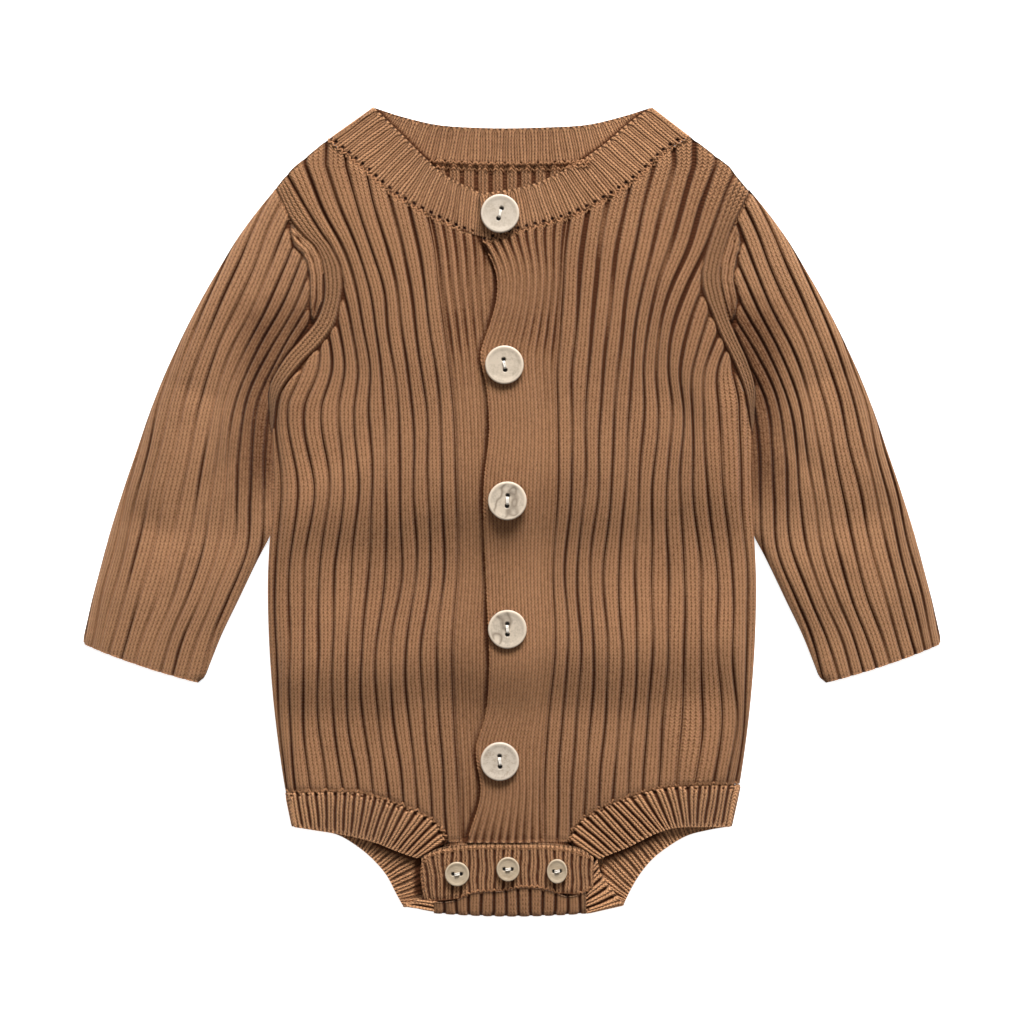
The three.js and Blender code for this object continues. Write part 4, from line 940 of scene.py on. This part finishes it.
def narrow_rib(rib, from_free, crest, ground):
    """Profile and wales of narrow ribs: cords of two wales, and a purl furrow between them that
    closes in a round arch below the free edge."""
    away = rib - np.floor(rib) - 0.5
    arch = np.sqrt(np.clip(1 - (np.maximum(2.9 - from_free, 0) / 1.7) ** 2, 0.0004, 1))
    crest = 0.5 - (0.5 - crest) * arch
    part = np.abs(away) / crest
    cord = np.sqrt(np.clip(1 - part**5, 0, 1)) * (1 - 0.25 * np.exp(-((part / 0.16) ** 2)))
    beyond = (np.abs(away) - crest) / (0.5 - crest)
    shape = np.maximum(cord, ground * smooth(-1, 0.6, beyond))
    wale = 4 * np.floor(rib) + 2.5 + np.sign(away) * np.where(part < 1, part, 1 + beyond)
    return shape, wale


def stations(rows, count):
    """Evenly laid wales along one flat stretch of a strip."""
    table = np.array(rows, float)
    knots = run((table[:, 0:2] + table[:, 2:4]) / 2)
    at = np.linspace(0, knots[-1], count)
    return np.stack([spline(knots, table[:, c])(at) for c in range(table.shape[1])], -1)


STRIP_ROWS = np.array(
    [0, 0.02, 0.045, 0.075, 0.12, 0.18, 0.26, 0.34, 0.42, 0.46, 0.5, 0.58, 0.66, 0.74, 0.81, 0.86, 0.89,
     0.91, 0.93, 0.95, 0.965, 0.98, 1]
)


def strip_wales(stretches, folds, pitch):
    """Wales of a strip of flat stretches joined by folds: their rows, how far each is turned, facing
    up (0) or down (180), and the way out of its fold."""
    columns, turns, outs = [], [], []
    facing = 0.0
    for i, stretch in enumerate(stretches):
        table = np.array(stretch, float)
        length = run((table[:, :2] + table[:, 2:4]) / 2)[-1]
        flat = stations(stretch, max(int(length / pitch * 14), 8))
        columns.append(flat)
        turns.append(np.full(len(flat), facing))
        outs.append(np.zeros((len(flat), 2)))
        if i < len(folds):
            over = flat[-1, 2:4] - flat[-1, :2]
            over = over / np.linalg.norm(over)
            way = (flat[-1, :2] + flat[-1, 2:4] - flat[-2, :2] - flat[-2, 2:4]) / 2
            out = way - over * way.dot(over)
            out = out / np.linalg.norm(out)
            steps = np.linspace(0, 1, 10)
            columns.append(np.repeat(flat[-1:], len(steps), axis=0))
            turns.append(facing + folds[i] * 180 * steps)
            outs.append(np.repeat(out[None], len(steps), axis=0))
            facing += folds[i] * 180
    # Flat wales next to a fold stop short of it by its radius.
    inset = TURN_RADIUS + WALL / 2
    for k in range(len(folds)):
        shift = -inset * outs[2 * k + 1][0]
        near = np.linspace(1 / 3, 1, 3)[:, None]
        for j, ends, weight in (
            (2 * k, slice(-3, None), near), (2 * k + 1, slice(None), 1), (2 * k + 2, slice(0, 3), near[::-1]),
        ):
            columns[j] = columns[j].copy()
            columns[j][ends, 0:2] += weight * shift
            columns[j][ends, 2:4] += weight * shift
    return np.concatenate(columns), np.concatenate(turns), np.concatenate(outs)


def strip_sheet(stretches, folds, ribs, shade, dim, eyelets):
    """A ribbed strip. Where it lies turned over it is in painted shade near the line given, as far as "dim"
    from it; the holes between the stitches picked up along its seam are darkened by painted shade, as much as
    the last argument says."""
    rise, cut = ribs["rise"], ribs["cut"]
    col, turn, out = strip_wales(stretches, folds, ribs["pitch"])
    v = STRIP_ROWS[:, None]
    over = col[:, 2:4] - col[:, 0:2]
    width = np.linalg.norm(over, axis=1)
    x = col[:, 0] + over[:, 0] * v
    y = col[:, 1] + over[:, 1] * v
    bend = (TURN_RADIUS * np.sin(np.radians(turn)))[:, None]
    middle = np.stack([x[10], y[10]], -1) + out * bend
    high = TURN_MIDDLE + TURN_RADIUS * np.cos(np.radians(turn))
    reach = run(np.concatenate([middle, high[:, None]], 1))
    count = max(round(reach[-1] / ribs["pitch"]), 1)
    rib = (reach / reach[-1] * count)[None, :] + 0.035 * np.sin(v * 5 + reach[None, :] * 0.31)
    from_free, from_seam = v * width, (1 - v) * width
    shape, wale = narrow_rib(rib, from_free, ribs["crest"], ribs["ground"])
    shape = shape * smooth(-0.6, 1.2, from_seam)
    up = (1 + np.cos(np.radians(turn)))[None, :] / 2
    climb = col[:, 7][None, :] if col.shape[1] > 7 else 0
    lift = cloth_rise(x, y) + col[:, 6][None, :] * lap_rise(x) + climb
    hole = reach[None, :] / 3.9 + 0.3
    hole = np.exp(-(((hole - np.floor(hole) - 0.5) / 0.2) ** 2))
    eyelet = np.exp(-(((from_seam - 1.5) / 0.7) ** 2)) * hole
    free = roll(from_free, 1.2, 0.9)
    worn = col[:, 4][None, :]
    show = col[:, 5][None, :]
    raised = (rise + cut) * shape * worn - cut * worn - 0.8 * eyelet * worn
    shown = (raised - 0.25 * free) * up - 0.35 * free * (1 - up)
    hidden = show * (1 - up) * (cut * (1 - shape) - rise * shape + 0.5 * eyelet)
    faces = []
    for offset in (WALL + shown, hidden + 0 * rib):
        away, z, _ = turned(turn[None, :], lift, TURN_RADIUS, TURN_MIDDLE, offset)
        faces.append(np.stack([x + out[:, 0] * away, y + out[:, 1] * away, z + 0 * x], -1))
    # Painted shade: the purl ground, near the shade line where the strip is turned over, and in the eyelets.
    furrow = np.clip(1 - shape, 0, 1) * np.maximum(worn * up, show * (1 - up))
    furrow = np.maximum(furrow, 0.85 * smooth(dim, 0.3, to_line(x, y, shade)) * (1 - up))
    seen = np.maximum(worn * up, 0.5 * show * (1 - up))
    furrow = furrow + eyelets * np.clip(eyelet - 0.25, 0, 0.6) * seen
    stitch = np.stack([wale, -v * width / COURSE + 0 * rib], -1)
    return {"outer": faces[0], "inner": faces[1], "stitch": stitch, "furrow": furrow + 0 * rib}


neck_edge = [row[:2] for row in [*NECK_UNDER[::-1], *NECK_OVER[::-1]]]
neck_strip = strip_sheet([NECK_UNDER, NECK_BACK, NECK_OVER], [1, -1], NECK_RIB, neck_edge, 3, 4)
neck = shell("neckband_knit", [neck_strip])
neck.data.materials.append(band_knit)
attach(neck, "root")
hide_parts("neckband")

# ------------------------------------------------------------------ leg bands
# A strip of the same narrow rib round each leg opening: along the front, round the side, back
# under along the seat, where its inside shows, and up round the crotch fold.
# Rows: as for the neckband, and last an extra lift where it climbs over the crotch.
RIGHT_BAND = [
    [
        (-44.9, -165.8, -31.2, -158, 1, 0, 0, 0),
        (-50, -164.2, -35.3, -149.9, 1, 0, 0, 0),
        (-55.4, -162.2, -42, -145, 1, 0, 0, 0),
        (-64.8, -158.4, -57.4, -138.8, 1, 0, 0, 0),
        (-75.1, -155.5, -72, -134.4, 1, 0, 0, 0),
        (-92.4, -152.6, -94, -133.8, 1, 0, 0, 0),
        (-105.2, -150.7, -108.6, -134.4, 1, 0, 0, 0),
    ],
    [
        (-105.2, -150.7, -108.6, -134.4, 1, 0, 0, 0),
        (-94, -152.8, -92, -135.2, 1, 0, 0, 0),
        (-83.8, -154.8, -79, -137.4, 1, 0.3, 0, 0),
        (-74.2, -160.3, -66, -144, 1, 0.7, 0, 0),
        (-66.5, -166.8, -54, -153.5, 1, 0.7, 0, 0),
        (-60.2, -174.2, -45, -164.5, 1, 0.7, 0, 0),
        (-55.6, -182.9, -39, -177, 1, 0.4, 0, 0),
        (-52.3, -189, -36, -192, 1, 0, 0, 0),
    ],
    [
        (-52.3, -189, -36, -192, 1, 0, 0, 1.4),
        (-44.5, -185, -35.5, -185.4, 1, 0, 0, 2.1),
    ],
]
LEFT_BAND = [
    [
        (41.2, -166.2, 27.2, -158, 1, 0, 0, 0),
        (47, -163.8, 30.4, -150, 1, 0, 0, 0),
        (54.5, -160.8, 38, -144, 1, 0, 0, 0),
        (69.4, -153.6, 54.5, -136.8, 1, 0, 0, 0),
        (77.5, -151.2, 70.3, -132.2, 1, 0, 0, 0),
        (90, -150.7, 92, -130.6, 1, 0, 0, 0),
        (105, -150.7, 109.4, -130.8, 1, 0, 0, 0),
    ],
    [
        (105, -150.7, 109.4, -130.8, 1, 0, 0, 0),
        (94, -152.6, 92, -135.2, 1, 0, 0, 0),
        (84.6, -155, 79, -137.4, 1, 0.3, 0, 0),
        (75.6, -160, 66, -144, 1, 0.7, 0, 0),
        (66.8, -167, 55.6, -152.6, 1, 0.7, 0, 0),
        (61.8, -173, 49.8, -158.4, 1, 0.7, 0, 0),
        (57.6, -179.8, 44.4, -166.4, 1, 0.6, 0, 0),
        (55, -185, 40, -176, 1, 0.5, 0, 0),
        (53.6, -188.2, 35.2, -192.4, 1, 0.4, 0, 0),
    ],
    [
        (53.6, -188.2, 35.2, -192.4, 1, 0, 0, 1.4),
        (50, -183.4, 35, -189.6, 1, 0, 0, 1.4),
        (45.8, -178.2, 34.8, -186, 1, 0, 0, 1.1),
        (42.4, -172.6, 35, -181, 1, 0, 0, 0.7),
        (40.8, -166, 34.6, -174, 1, 0, 0, 0.3),
    ],
]
LEG_RIB = dict(pitch=4.3, crest=0.4, ground=0.15, rise=0.9, cut=0.5)
leg_knit = knit("leg band wool", lit=(0.64, 0.33, 0.162, 1), bite=0.6, parted=1.1)
for name, rows, node in (
    ("leg_band_right_knit", RIGHT_BAND, "leg_band_right"),
    ("leg_band_left_knit", LEFT_BAND, "leg_band_left"),
):
    shade = [row[:2] for row in rows[0][:4]]
    shade = [(shade[0][0], -182), *shade]
    leg = shell(name, [strip_sheet(rows, [1, -1], LEG_RIB, shade, 5, 1.5)])
    leg.data.materials.append(leg_knit)
    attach(leg, "root")
    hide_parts(node)

# ------------------------------------------------------------------ crotch bands
# The foot of the fronts carries a plain button band; the turned-up back carries the ribbed
# buttonhole band that covers it.
CROTCH_FRONT = dict(
    pitch=4,
    x=[-36, -30, 26, 33],
    free=[-180.5, -180.5, -180.5, -180.5],
    seam=[-162.6, -158.6, -158.6, -163],
)
CROTCH_BACK = dict(
    pitch=4.1,
    x=[-43.2, -36, -24, 0, 24, 34, 39],
    free=[-165, -161.4, -159.2, -158.5, -159.4, -161.6, -165],
    seam=[-186, -185.9, -184.6, -180.3, -182.4, -182.2, -179.8],
)
CROTCH_RIB = dict(crest=0.38, ground=0.15, rise=NECK_RIB["rise"], cut=NECK_RIB["cut"])


def crotch_sheet(table, height, ribbed):
    """A short straight band, ribbed or plain."""
    free, seam = spline(table["x"], table["free"]), spline(table["x"], table["seam"])
    x = np.linspace(table["x"][0], table["x"][-1], 190 if ribbed else 40)[None, :]
    v = np.linspace(0, 1, 24 if ribbed else 8)[:, None]
    y = free(x) + (seam(x) - free(x)) * v
    deep = np.abs(seam(x) - free(x))
    rib = x / table["pitch"] + 0.06 * np.sin(y * 0.4 + x * 0.2)
    rib = rib + 0.05 * (y + 172) * np.clip(-x - 28, 0, 20) / 16
    from_free, from_seam = v * deep, (1 - v) * deep
    shape, wale = narrow_rib(rib, from_free, CROTCH_RIB["crest"], CROTCH_RIB["ground"])
    shape = shape * smooth(-0.5, 1.5, from_seam)
    ends = np.minimum(x - table["x"][0], table["x"][-1] - x)
    edge = roll(from_free, 1.3, 1.2) + roll(ends, 1.3, 1)
    rise, cut = CROTCH_RIB["rise"], CROTCH_RIB["cut"]
    top = WALL + ribbed * ((rise + cut) * shape - cut) - edge
    outer = np.stack([x + 0 * y, y, height + np.maximum(top, 0.5)], -1)
    inner = np.stack([x + 0 * y, y, height + 0 * y], -1)
    stitch = np.stack([wale, y / COURSE], -1)
    return {"outer": outer, "inner": inner, "stitch": stitch, "furrow": ribbed * (1 - shape)}


for name, table, height, ribbed, node, flat in (
    ("crotch_front_knit", CROTCH_FRONT, FRONT_IN, False, "crotch_band_front", (0.069, 0.022)),
    ("crotch_back_knit", CROTCH_BACK, FRONT_IN + LAP, True, "crotch_band_back", (0.083, 0.022)),
):
    band = shell(name, [crotch_sheet(table, height, ribbed)])
    band.data.materials.append(band_knit)
    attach(band, "root")
    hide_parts(node)

# ------------------------------------------------------------------ seam stitches
# Where a band is picked up, its first yarn shows as a zigzag beside the seam. Edges that were cast
# off or slipped end in a chain. All of it is the garment's own yarn.
PICKED_UP = [(-1.3, -0.9, -0.4), (-0.6, 0.1, 0), (0, 0.85, 0.05), (0.6, 0.1, 0), (1.3, -0.9, -0.4)]
CHAINED = [(-0.95, 0.5, -0.3), (0.15, 0.34, 0.08), (0.75, 0, 0.02), (0.15, -0.34, 0.08), (-0.95, -0.5, -0.3)]


def tube(path, radius, sides=5):
    """Points and faces of a short length of yarn, closed at both ends."""
    path = np.array(path, float)
    way = np.gradient(path, axis=0)
    way /= np.linalg.norm(way, axis=1)[:, None]
    side = np.cross(way, (0, 0, 1))
    side /= np.linalg.norm(side, axis=1)[:, None]
    up = np.cross(side, way)
    angle = np.arange(sides) * 2 * np.pi / sides
    around = side[:, None] * np.cos(angle)[:, None] + up[:, None] * np.sin(angle)[:, None]
    verts = (path[:, None] + radius * around).reshape(-1, 3)
    faces = []
    for i in range(len(path) - 1):
        for j in range(sides):
            a, b = i * sides + j, i * sides + (j + 1) % sides
            faces.append((a, b, b + sides, a + sides))
    faces.append(tuple(reversed(range(sides))))
    faces.append(tuple(len(verts) - sides + j for j in range(sides)))
    return verts, faces


def row_tree():
    """Nodes that lay one stitch after another along a line, each turned to it."""
    tree = bpy.data.node_groups.new("row of stitches", "GeometryNodeTree")
    for name, kind in (
        ("Line", "NodeSocketGeometry"),
        ("Stitch", "NodeSocketObject"),
        ("Spacing", "NodeSocketFloat"),
        ("Unevenness", "NodeSocketFloat"),
        ("Seed", "NodeSocketInt"),
        ("Yarn", "NodeSocketMaterial"),
    ):
        tree.interface.new_socket(name, in_out="INPUT", socket_type=kind)
    tree.interface.new_socket("Geometry", in_out="OUTPUT", socket_type="NodeSocketGeometry")
    row = Tree(tree)
    given = row.add("NodeGroupInput")
    line = row.add("GeometryNodeMeshToCurve", None, {"Mesh": given})
    spots = row.add(
        "GeometryNodeCurveToPoints", {"mode": "LENGTH"}, {"Curve": line, "Length": given.beside("Spacing")}
    )
    turn = row.add(
        "FunctionNodeAlignRotationToVector",
        {"axis": "X", "pivot_axis": "Z"},
        {"Vector": spots.beside("Tangent")},
    )
    spread = given.beside("Unevenness")
    size = row.add(
        "FunctionNodeRandomValue",
        {"data_type": "FLOAT"},
        {2: 1 - spread, 3: spread + 1, "Seed": given.beside("Seed")},
        1,
    )
    shape = row.add("GeometryNodeObjectInfo", None, {"Object": given.beside("Stitch")}, "Geometry")
    laid = row.add(
        "GeometryNodeInstanceOnPoints",
        None,
        {"Points": spots, "Instance": shape, "Rotation": turn, "Scale": size},
    )
    whole = row.add("GeometryNodeRealizeInstances", None, {"Geometry": laid})
    yarn = {"Geometry": whole, "Material": given.beside("Yarn")}
    dyed = row.add("GeometryNodeSetMaterial", None, yarn)
    row.add("NodeGroupOutput", None, {0: dyed})
    return tree


def yarn_stuff():
    p = Paint("single yarn")
    place = p.place()
    ply = p.noise(place, 1300.0, 2.0)
    heather = p.noise(place, 500.0, 3.0)
    tone = (ply * 0.7 + heather * 0.9 - 0.15).held()
    colour = p.mix(tone, YARN_DEEP, (0.42, 0.21, 0.102, 1))
    normal = p.bump(ply, 0.25)
    return p.finish(
        {"Base Color": colour, "Roughness": 0.95, "Specular IOR Level": 0.12, "Normal": normal}
    )


stitch_row = row_tree()
single_yarn = yarn_stuff()
picked_up = formed("picked up stitch", *tube(PICKED_UP, 0.48))
chained = formed("chain stitch", *tube(CHAINED, 0.33))
bpy.context.view_layer.update()


def laid_on(cloths, line, lift):
    """A line followed every half millimetre on top of the cloth below it."""
    line = np.array(line, float)
    steps = run(line)
    at = np.arange(1.5, steps[-1] - 1.5, 0.5)
    spots = []
    for x, y in zip(spline(steps, line[:, 0])(at), spline(steps, line[:, 1])(at)):
        hits = [cloth.ray_cast((x * MM, y * MM, 0.05), (0, 0, -1)) for cloth in cloths]
        tops = [hit[1][2] for hit in hits if hit[0]]
        if tops:
            spots.append((x * MM, y * MM, max(tops) + lift * MM))
    level = np.convolve([spot[2] for spot in spots], np.ones(5) / 5, "same")
    for i in range(3, len(spots) - 3):
        spots[i] = (*spots[i][:2], level[i])
    return spots


def stitched(name, lines, shape, spacing, seed):
    """One piece from rows of stitches along several lines."""
    verts, edges = [], []
    for line in lines:
        edges += [(len(verts) + i, len(verts) + i + 1) for i in range(len(line) - 1)]
        verts += line
    mesh = bpy.data.meshes.new(name)
    mesh.from_pydata(verts, edges, [])
    piece = in_scene(name, mesh)
    rows = piece.modifiers.new("stitches", "NODES")
    rows.node_group = stitch_row
    values = {"Stitch": shape, "Spacing": spacing * MM, "Unevenness": 0.12, "Seed": seed, "Yarn": single_yarn}
    for socket in stitch_row.interface.items_tree:
        if socket.name in values:
            rows[socket.identifier] = values[socket.name]
    graph = bpy.context.evaluated_depsgraph_get()
    laid = bpy.data.meshes.new_from_object(piece.evaluated_get(graph))
    piece.modifiers.clear()
    piece.data = laid
    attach(piece, "root")


def seam_line(rows, outwards, skip=0):
    """The seam end of a band's rows, moved outwards over the panel."""
    table = np.array(rows, float)[skip:]
    way = table[:, 2:4] - table[:, :2]
    return table[:, 2:4] + outwards * way / np.linalg.norm(way, axis=1)[:, None]


FLAP_EDGE = [
    (-42.4, -181), (-42.4, -168), (-40, -165.2), (-26, -161.6), (0, -160.9), (26, -161.9), (38, -165.4),
]
fronts = [bpy.data.objects[name] for name in ("front_right_knit", "front_left_knit")]
sleeves = [bpy.data.objects[name] for name in ("sleeve_right_knit", "sleeve_left_knit")]
crotch = bpy.data.objects["crotch_back_knit"]
lap_y = np.arange(124, CROTCH_SEAM, -4.0)
stitched(
    "front_stitches",
    [
        laid_on([*fronts, neck], seam_line(NECK_UNDER, 0.5, 3), 0.2),
        laid_on([*fronts, neck], seam_line(NECK_OVER, 0.5), 0.2),
        laid_on(fronts, seam_line(RIGHT_BAND[0], 0.5), 0.1),
        laid_on(fronts, seam_line(LEFT_BAND[0], 0.5), 0.1),
    ],
    picked_up, 2.75, 3,
)
stitched(
    "back_stitches",
    [
        laid_on([back, neck], [(-40, 168.2), (-30, 167.6), (0, 166.8), (30, 167.6), (40, 168.2)], 0),
        laid_on([back, neck], [(-39, 166.8), (-30, 166.2), (0, 165.4), (30, 166.2), (38, 166.8)], 0),
        laid_on([back, neck], [(-37, 165.2), (-30, 164.7), (0, 164), (30, 164.7), (37, 165.2)], 0),
        laid_on([back, crotch], [(x, flap_seam(x) + 0.4) for x in np.linspace(-41, 39, 21)], 0.1),
    ],
    picked_up, 2.6, 5,
)
stitched(
    "edge_chains",
    [
        laid_on(fronts, np.stack([lap_edge(lap_y) + 0.55, lap_y], -1), -0.05),
        laid_on([crotch], FLAP_EDGE, 0),
        laid_on([*fronts, *sleeves], mirrored(-1, ARMHOLE_RIGHT["x"], ARMHOLE_RIGHT["y"])[:6], 0),
        laid_on([*fronts, *sleeves], mirrored(1, ARMHOLE_LEFT["x"], ARMHOLE_LEFT["y"])[:8], 0),
    ],
    chained, 1.8, 7,
)
for shape in (picked_up, chained):
    bpy.data.objects.remove(shape)

# ------------------------------------------------------------------ buttons
# Five large and three small turned buttons, dished, with a rim and two holes, sewn on with a few
# turns of white thread.
BUTTONS = [
    (-5.7, 142.2, -18, 1), (-3.6, 70.1, 8, 1), (-2.2, 5.3, -4, 1), (-2.2, -55.7, 0, 1), (-5.8, -118.8, 3, 1),
]
CROTCH_BUTTONS = [(-26.2, -172.7, 90, 1), (-1.9, -170.4, 88, 0.95), (21.5, -171.4, 92, 0.84)]
LARGE = dict(radius=9.2, height=2.1, dish=0.35, hole=0.98, apart=5.0)
SMALL = dict(radius=5.8, height=1.8, dish=0.35, hole=0.85, apart=3.7)
# Profile from the rim to the middle of the back, as shares of the radius and the height.
BACK_R = [0.995, 1, 1, 0.985, 0.94, 0.86, 0.72, 0.4, 0]
BACK_Z = [0.72, 0.6, 0.42, 0.28, 0.14, 0.05, 0, 0, 0]


def button_mesh(name, size, spot, seat):
    """A turned disc; the two holes are sunk almost through it."""
    radius, height, dish = size["radius"], size["height"], size["dish"]
    r = np.array([0, 0.3, 0.6, 0.9, 1.2, 1.5, 1.8, 2.1, 2.4, 2.7, 3.0, 3.3, 3.6, 4.0, 4.6, 5.2])
    r = np.concatenate([r / LARGE["radius"], np.linspace(0.62, 0.98, 14), BACK_R])
    lip = spline([0, 0.6, 0.72, 0.8, 0.88, 0.95, 1], [0, 0.02, 0.2, 0.6, 0.9, 1, 0.7])
    z = height - dish * (1 - lip(r)) - 0.5 * smooth(0.9, 1, r) * dish
    z[-len(BACK_Z) :] = height * np.array(BACK_Z)
    turns = 64
    angle = np.arange(turns) * 2 * np.pi / turns
    x = radius * r[:, None] * np.cos(angle)
    y = radius * r[:, None] * np.sin(angle)
    zz = z[:, None] + 0 * x
    top = (np.arange(len(r)) < len(r) - len(BACK_R))[:, None]
    # hole and rim mark where the face is painted: almost black in the holes as painted shade, paler round the
    # rim as a painted highlight.
    hole = 0 * x
    rim = smooth(0.85, 0.91, r)[:, None] * smooth(1.02, 0.98, r)[:, None] * top + 0 * x
    for end in (-1, 1):
        away = np.hypot(x, y - end * size["apart"] / 2)
        pit = smooth(size["hole"] + 0.12, size["hole"] - 0.12, away)
        zz = np.where(top, zz - pit * (zz - 0.25), zz)
        hole = np.maximum(hole, np.where(top, smooth(size["hole"] + 0.25, size["hole"] - 0.15, away), 0))
    lean = math.radians(spot[2])
    wx = spot[0] + spot[3] * (x * math.cos(lean) - y * math.sin(lean))
    wy = spot[1] + x * math.sin(lean) + y * math.cos(lean)

    def points(table):
        """The middle of the face, the rings one after another, and the middle of the back."""
        return np.concatenate([table[0, :1], *table[1:-1], table[-1, :1]])

    verts = points(np.stack([wx, wy, seat + zz], -1))
    ring = lambda i, j: 1 + (i - 1) * turns + j % turns
    faces = [(0, ring(1, j), ring(1, j + 1)) for j in range(turns)]
    for i in range(1, len(r) - 2):
        faces += [(ring(i, j), ring(i + 1, j), ring(i + 1, j + 1), ring(i, j + 1)) for j in range(turns)]
    bottom = len(verts) - 1
    faces += [(ring(len(r) - 2, j), bottom, ring(len(r) - 2, j + 1)) for j in range(turns)]
    button = formed(name, verts, faces)
    for label, table in (("hole", hole), ("rim", rim)):
        marks = button.data.attributes.new(label, "FLOAT", "POINT")
        marks.data.foreach_set("value", points(table))
    return button


def mottled(name, pale, dark, scale, crack, grain=1.0):
    """Pale button stuff with cloudy patches, specks and, on some, a fine crack."""
    p = Paint(name)
    place = p.place()
    drawn = p.add("ShaderNodeMapping", None, {"Vector": place, "Scale": (grain, 1.0, 1.0)})
    cloud = p.noise(drawn, scale, 6.0, 0.65)
    speck = p.noise(drawn, scale * 5, 4.0)
    tone = ((cloud - 0.45) * 2.6 + (speck - 0.5) * 1.4).held()
    colour = p.mix(tone, pale, dark)
    if crack:
        line = p.noise(place, crack, 2.0)
        thin = ((line - 0.5).math("ABSOLUTE") * 34).math("MINIMUM", 1.0)
        colour = p.mix((1 - thin) * 0.7, colour, (0.13, 0.09, 0.06, 1))
    # A paler rim all round: a painted highlight.
    rim = p.painted("rim")
    colour = p.mix(rim * 0.75, colour, tuple(1.24 * c for c in pale[:3]) + (1,))
    # The holes painted almost black: painted shade in them.
    hole = p.painted("hole")
    colour = p.mix(hole, colour, (0.012, 0.008, 0.006, 1))
    normal = p.bump(speck, 0.1, 0.5)
    rough = tone * 0.2 + 0.4
    return p.finish({"Base Color": colour, "Roughness": rough, "Coat Weight": 0.06, "Normal": normal})


CREAM = (0.55, 0.457, 0.352, 1)
large_stuff = [
    mottled("button grey", (0.54, 0.46, 0.37, 1), (0.37, 0.3, 0.22, 1), 240.0, 0),
    mottled("button pale", CREAM, (0.33, 0.27, 0.2, 1), 190.0, 0),
    mottled("button cracked", CREAM, (0.31, 0.26, 0.2, 1), 200.0, 60.0),
    mottled("button veined", CREAM, (0.31, 0.26, 0.2, 1), 210.0, 50.0),
    mottled("button speckled", (0.53, 0.45, 0.36, 1), (0.26, 0.19, 0.13, 1), 420.0, 0),
]
small_stuff = mottled("button tan", (0.43, 0.34, 0.235, 1), (0.29, 0.205, 0.125, 1), 330.0, 0, 0.35)


def thread_mesh(name, size, spot, seat):
    """A few turns of sewing thread across the bridge between the holes."""
    reach = size["apart"] / 2 - 0.55 * size["hole"]
    low, high = seat + 0.6, seat + size["height"] - size["dish"] + 0.45
    verts, faces = [], []
    steps, sides = 12, 6
    lean = math.radians(spot[2])
    for k, sideways in enumerate((-0.42, -0.14, 0.14, 0.42)):
        for i in range(steps + 1):
            t = i / steps * 2 - 1
            along = reach * t
            z = low + (high + 0.12 * math.cos(k * 2.1) - low) * (1 - abs(t) ** 7)
            for j in range(sides):
                a = 2 * math.pi * j / sides
                x = sideways * (1 + 0.3 * math.sin(k + t * 2)) + 0.25 * math.cos(a)
                zz = z + 0.25 * math.sin(a)
                wx = spot[0] + x * math.cos(lean) - along * math.sin(lean)
                wy = spot[1] + x * math.sin(lean) + along * math.cos(lean)
                verts.append((wx, wy, zz))
        base = k * (steps + 1) * sides
        for i in range(steps):
            for j in range(sides):
                a, b = base + i * sides + j, base + i * sides + (j + 1) % sides
                faces.append((a, a + sides, b + sides, b))
        faces.append(tuple(base + j for j in range(sides)))
        faces.append(tuple(base + steps * sides + j for j in reversed(range(sides))))
    return formed(name, verts, faces)


def sewing_thread():
    p = Paint("white thread")
    twist = p.noise(p.place(), 3000.0, 1.0)
    colour = p.mix(twist, (0.86, 0.81, 0.73, 1), (0.68, 0.62, 0.54, 1))
    return p.finish({"Base Color": colour, "Roughness": 0.7})


thread_stuff = sewing_thread()
sewn = [(f"button_{i + 1}", LARGE, spot, large_stuff[i], "large_button") for i, spot in enumerate(BUTTONS)]
sewn += [
    (f"crotch_button_{i + 1}", SMALL, spot, small_stuff, "small_button")
    for i, spot in enumerate(CROTCH_BUTTONS)
]
for node, size, spot, stuff, slot in sewn:
    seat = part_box(node)[0][2] / MM
    button = button_mesh(node + "_turned", size, spot, seat)
    button.data.materials.append(stuff)
    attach(button, "root")
    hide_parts(node)
    thread = thread_mesh(node + "_thread", size, spot, seat)
    thread.data.materials.append(thread_stuff)
    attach(thread, "root")

# ------------------------------------------------------------------ table, light and camera
# The romper lies on a plain pale table under soft daylight that comes over its neck.
TABLE_HALF = 9000
corners = [(x * TABLE_HALF, y * TABLE_HALF, 0) for x, y in ((-1, -1), (1, -1), (1, 1), (-1, 1))]
floor = formed("table", corners, [(0, 1, 2, 3)])
p = Paint("pale table")
grain = p.noise(p.place(), 9.0, 2.0)
paper = p.mix(grain, (0.9, 0.9, 0.895, 1), (0.88, 0.88, 0.875, 1))
glow = {"Emission Color": (1, 1, 1, 1), "Emission Strength": 0.8}
floor.data.materials.append(p.finish({"Base Color": paper, "Roughness": 0.9, **glow}))

scene = bpy.context.scene
world = bpy.data.worlds.new("room")
world.use_nodes = True
world.node_tree.nodes["Background"].inputs[0].default_value = (1, 0.99, 0.98, 1)
world.node_tree.nodes["Background"].inputs[1].default_value = 0.34
scene.world = world


def lamp(name, place, target, power, width, height):
    light = bpy.data.lights.new(name, "AREA")
    light.energy = power
    light.shape = "RECTANGLE"
    light.size = width
    light.size_y = height
    holder = in_scene(name, light)
    holder.location = place
    way = Vector(target) - Vector(place)
    holder.rotation_euler = way.to_track_quat("-Z", "Y").to_euler()


lamp("window", (0.5, 3.0, 1.6), (0, 0, 0), 250, 1.8, 1.2)

camera = bpy.data.cameras.new("camera")
camera.lens = 85
camera.sensor_width = 36
eye = in_scene("camera", camera)
eye.location = (0.0, 0.0, 1.1615)
eye.rotation_euler = (0, 0, 0)
scene.camera = eye
scene.view_settings.view_transform = "Standard"
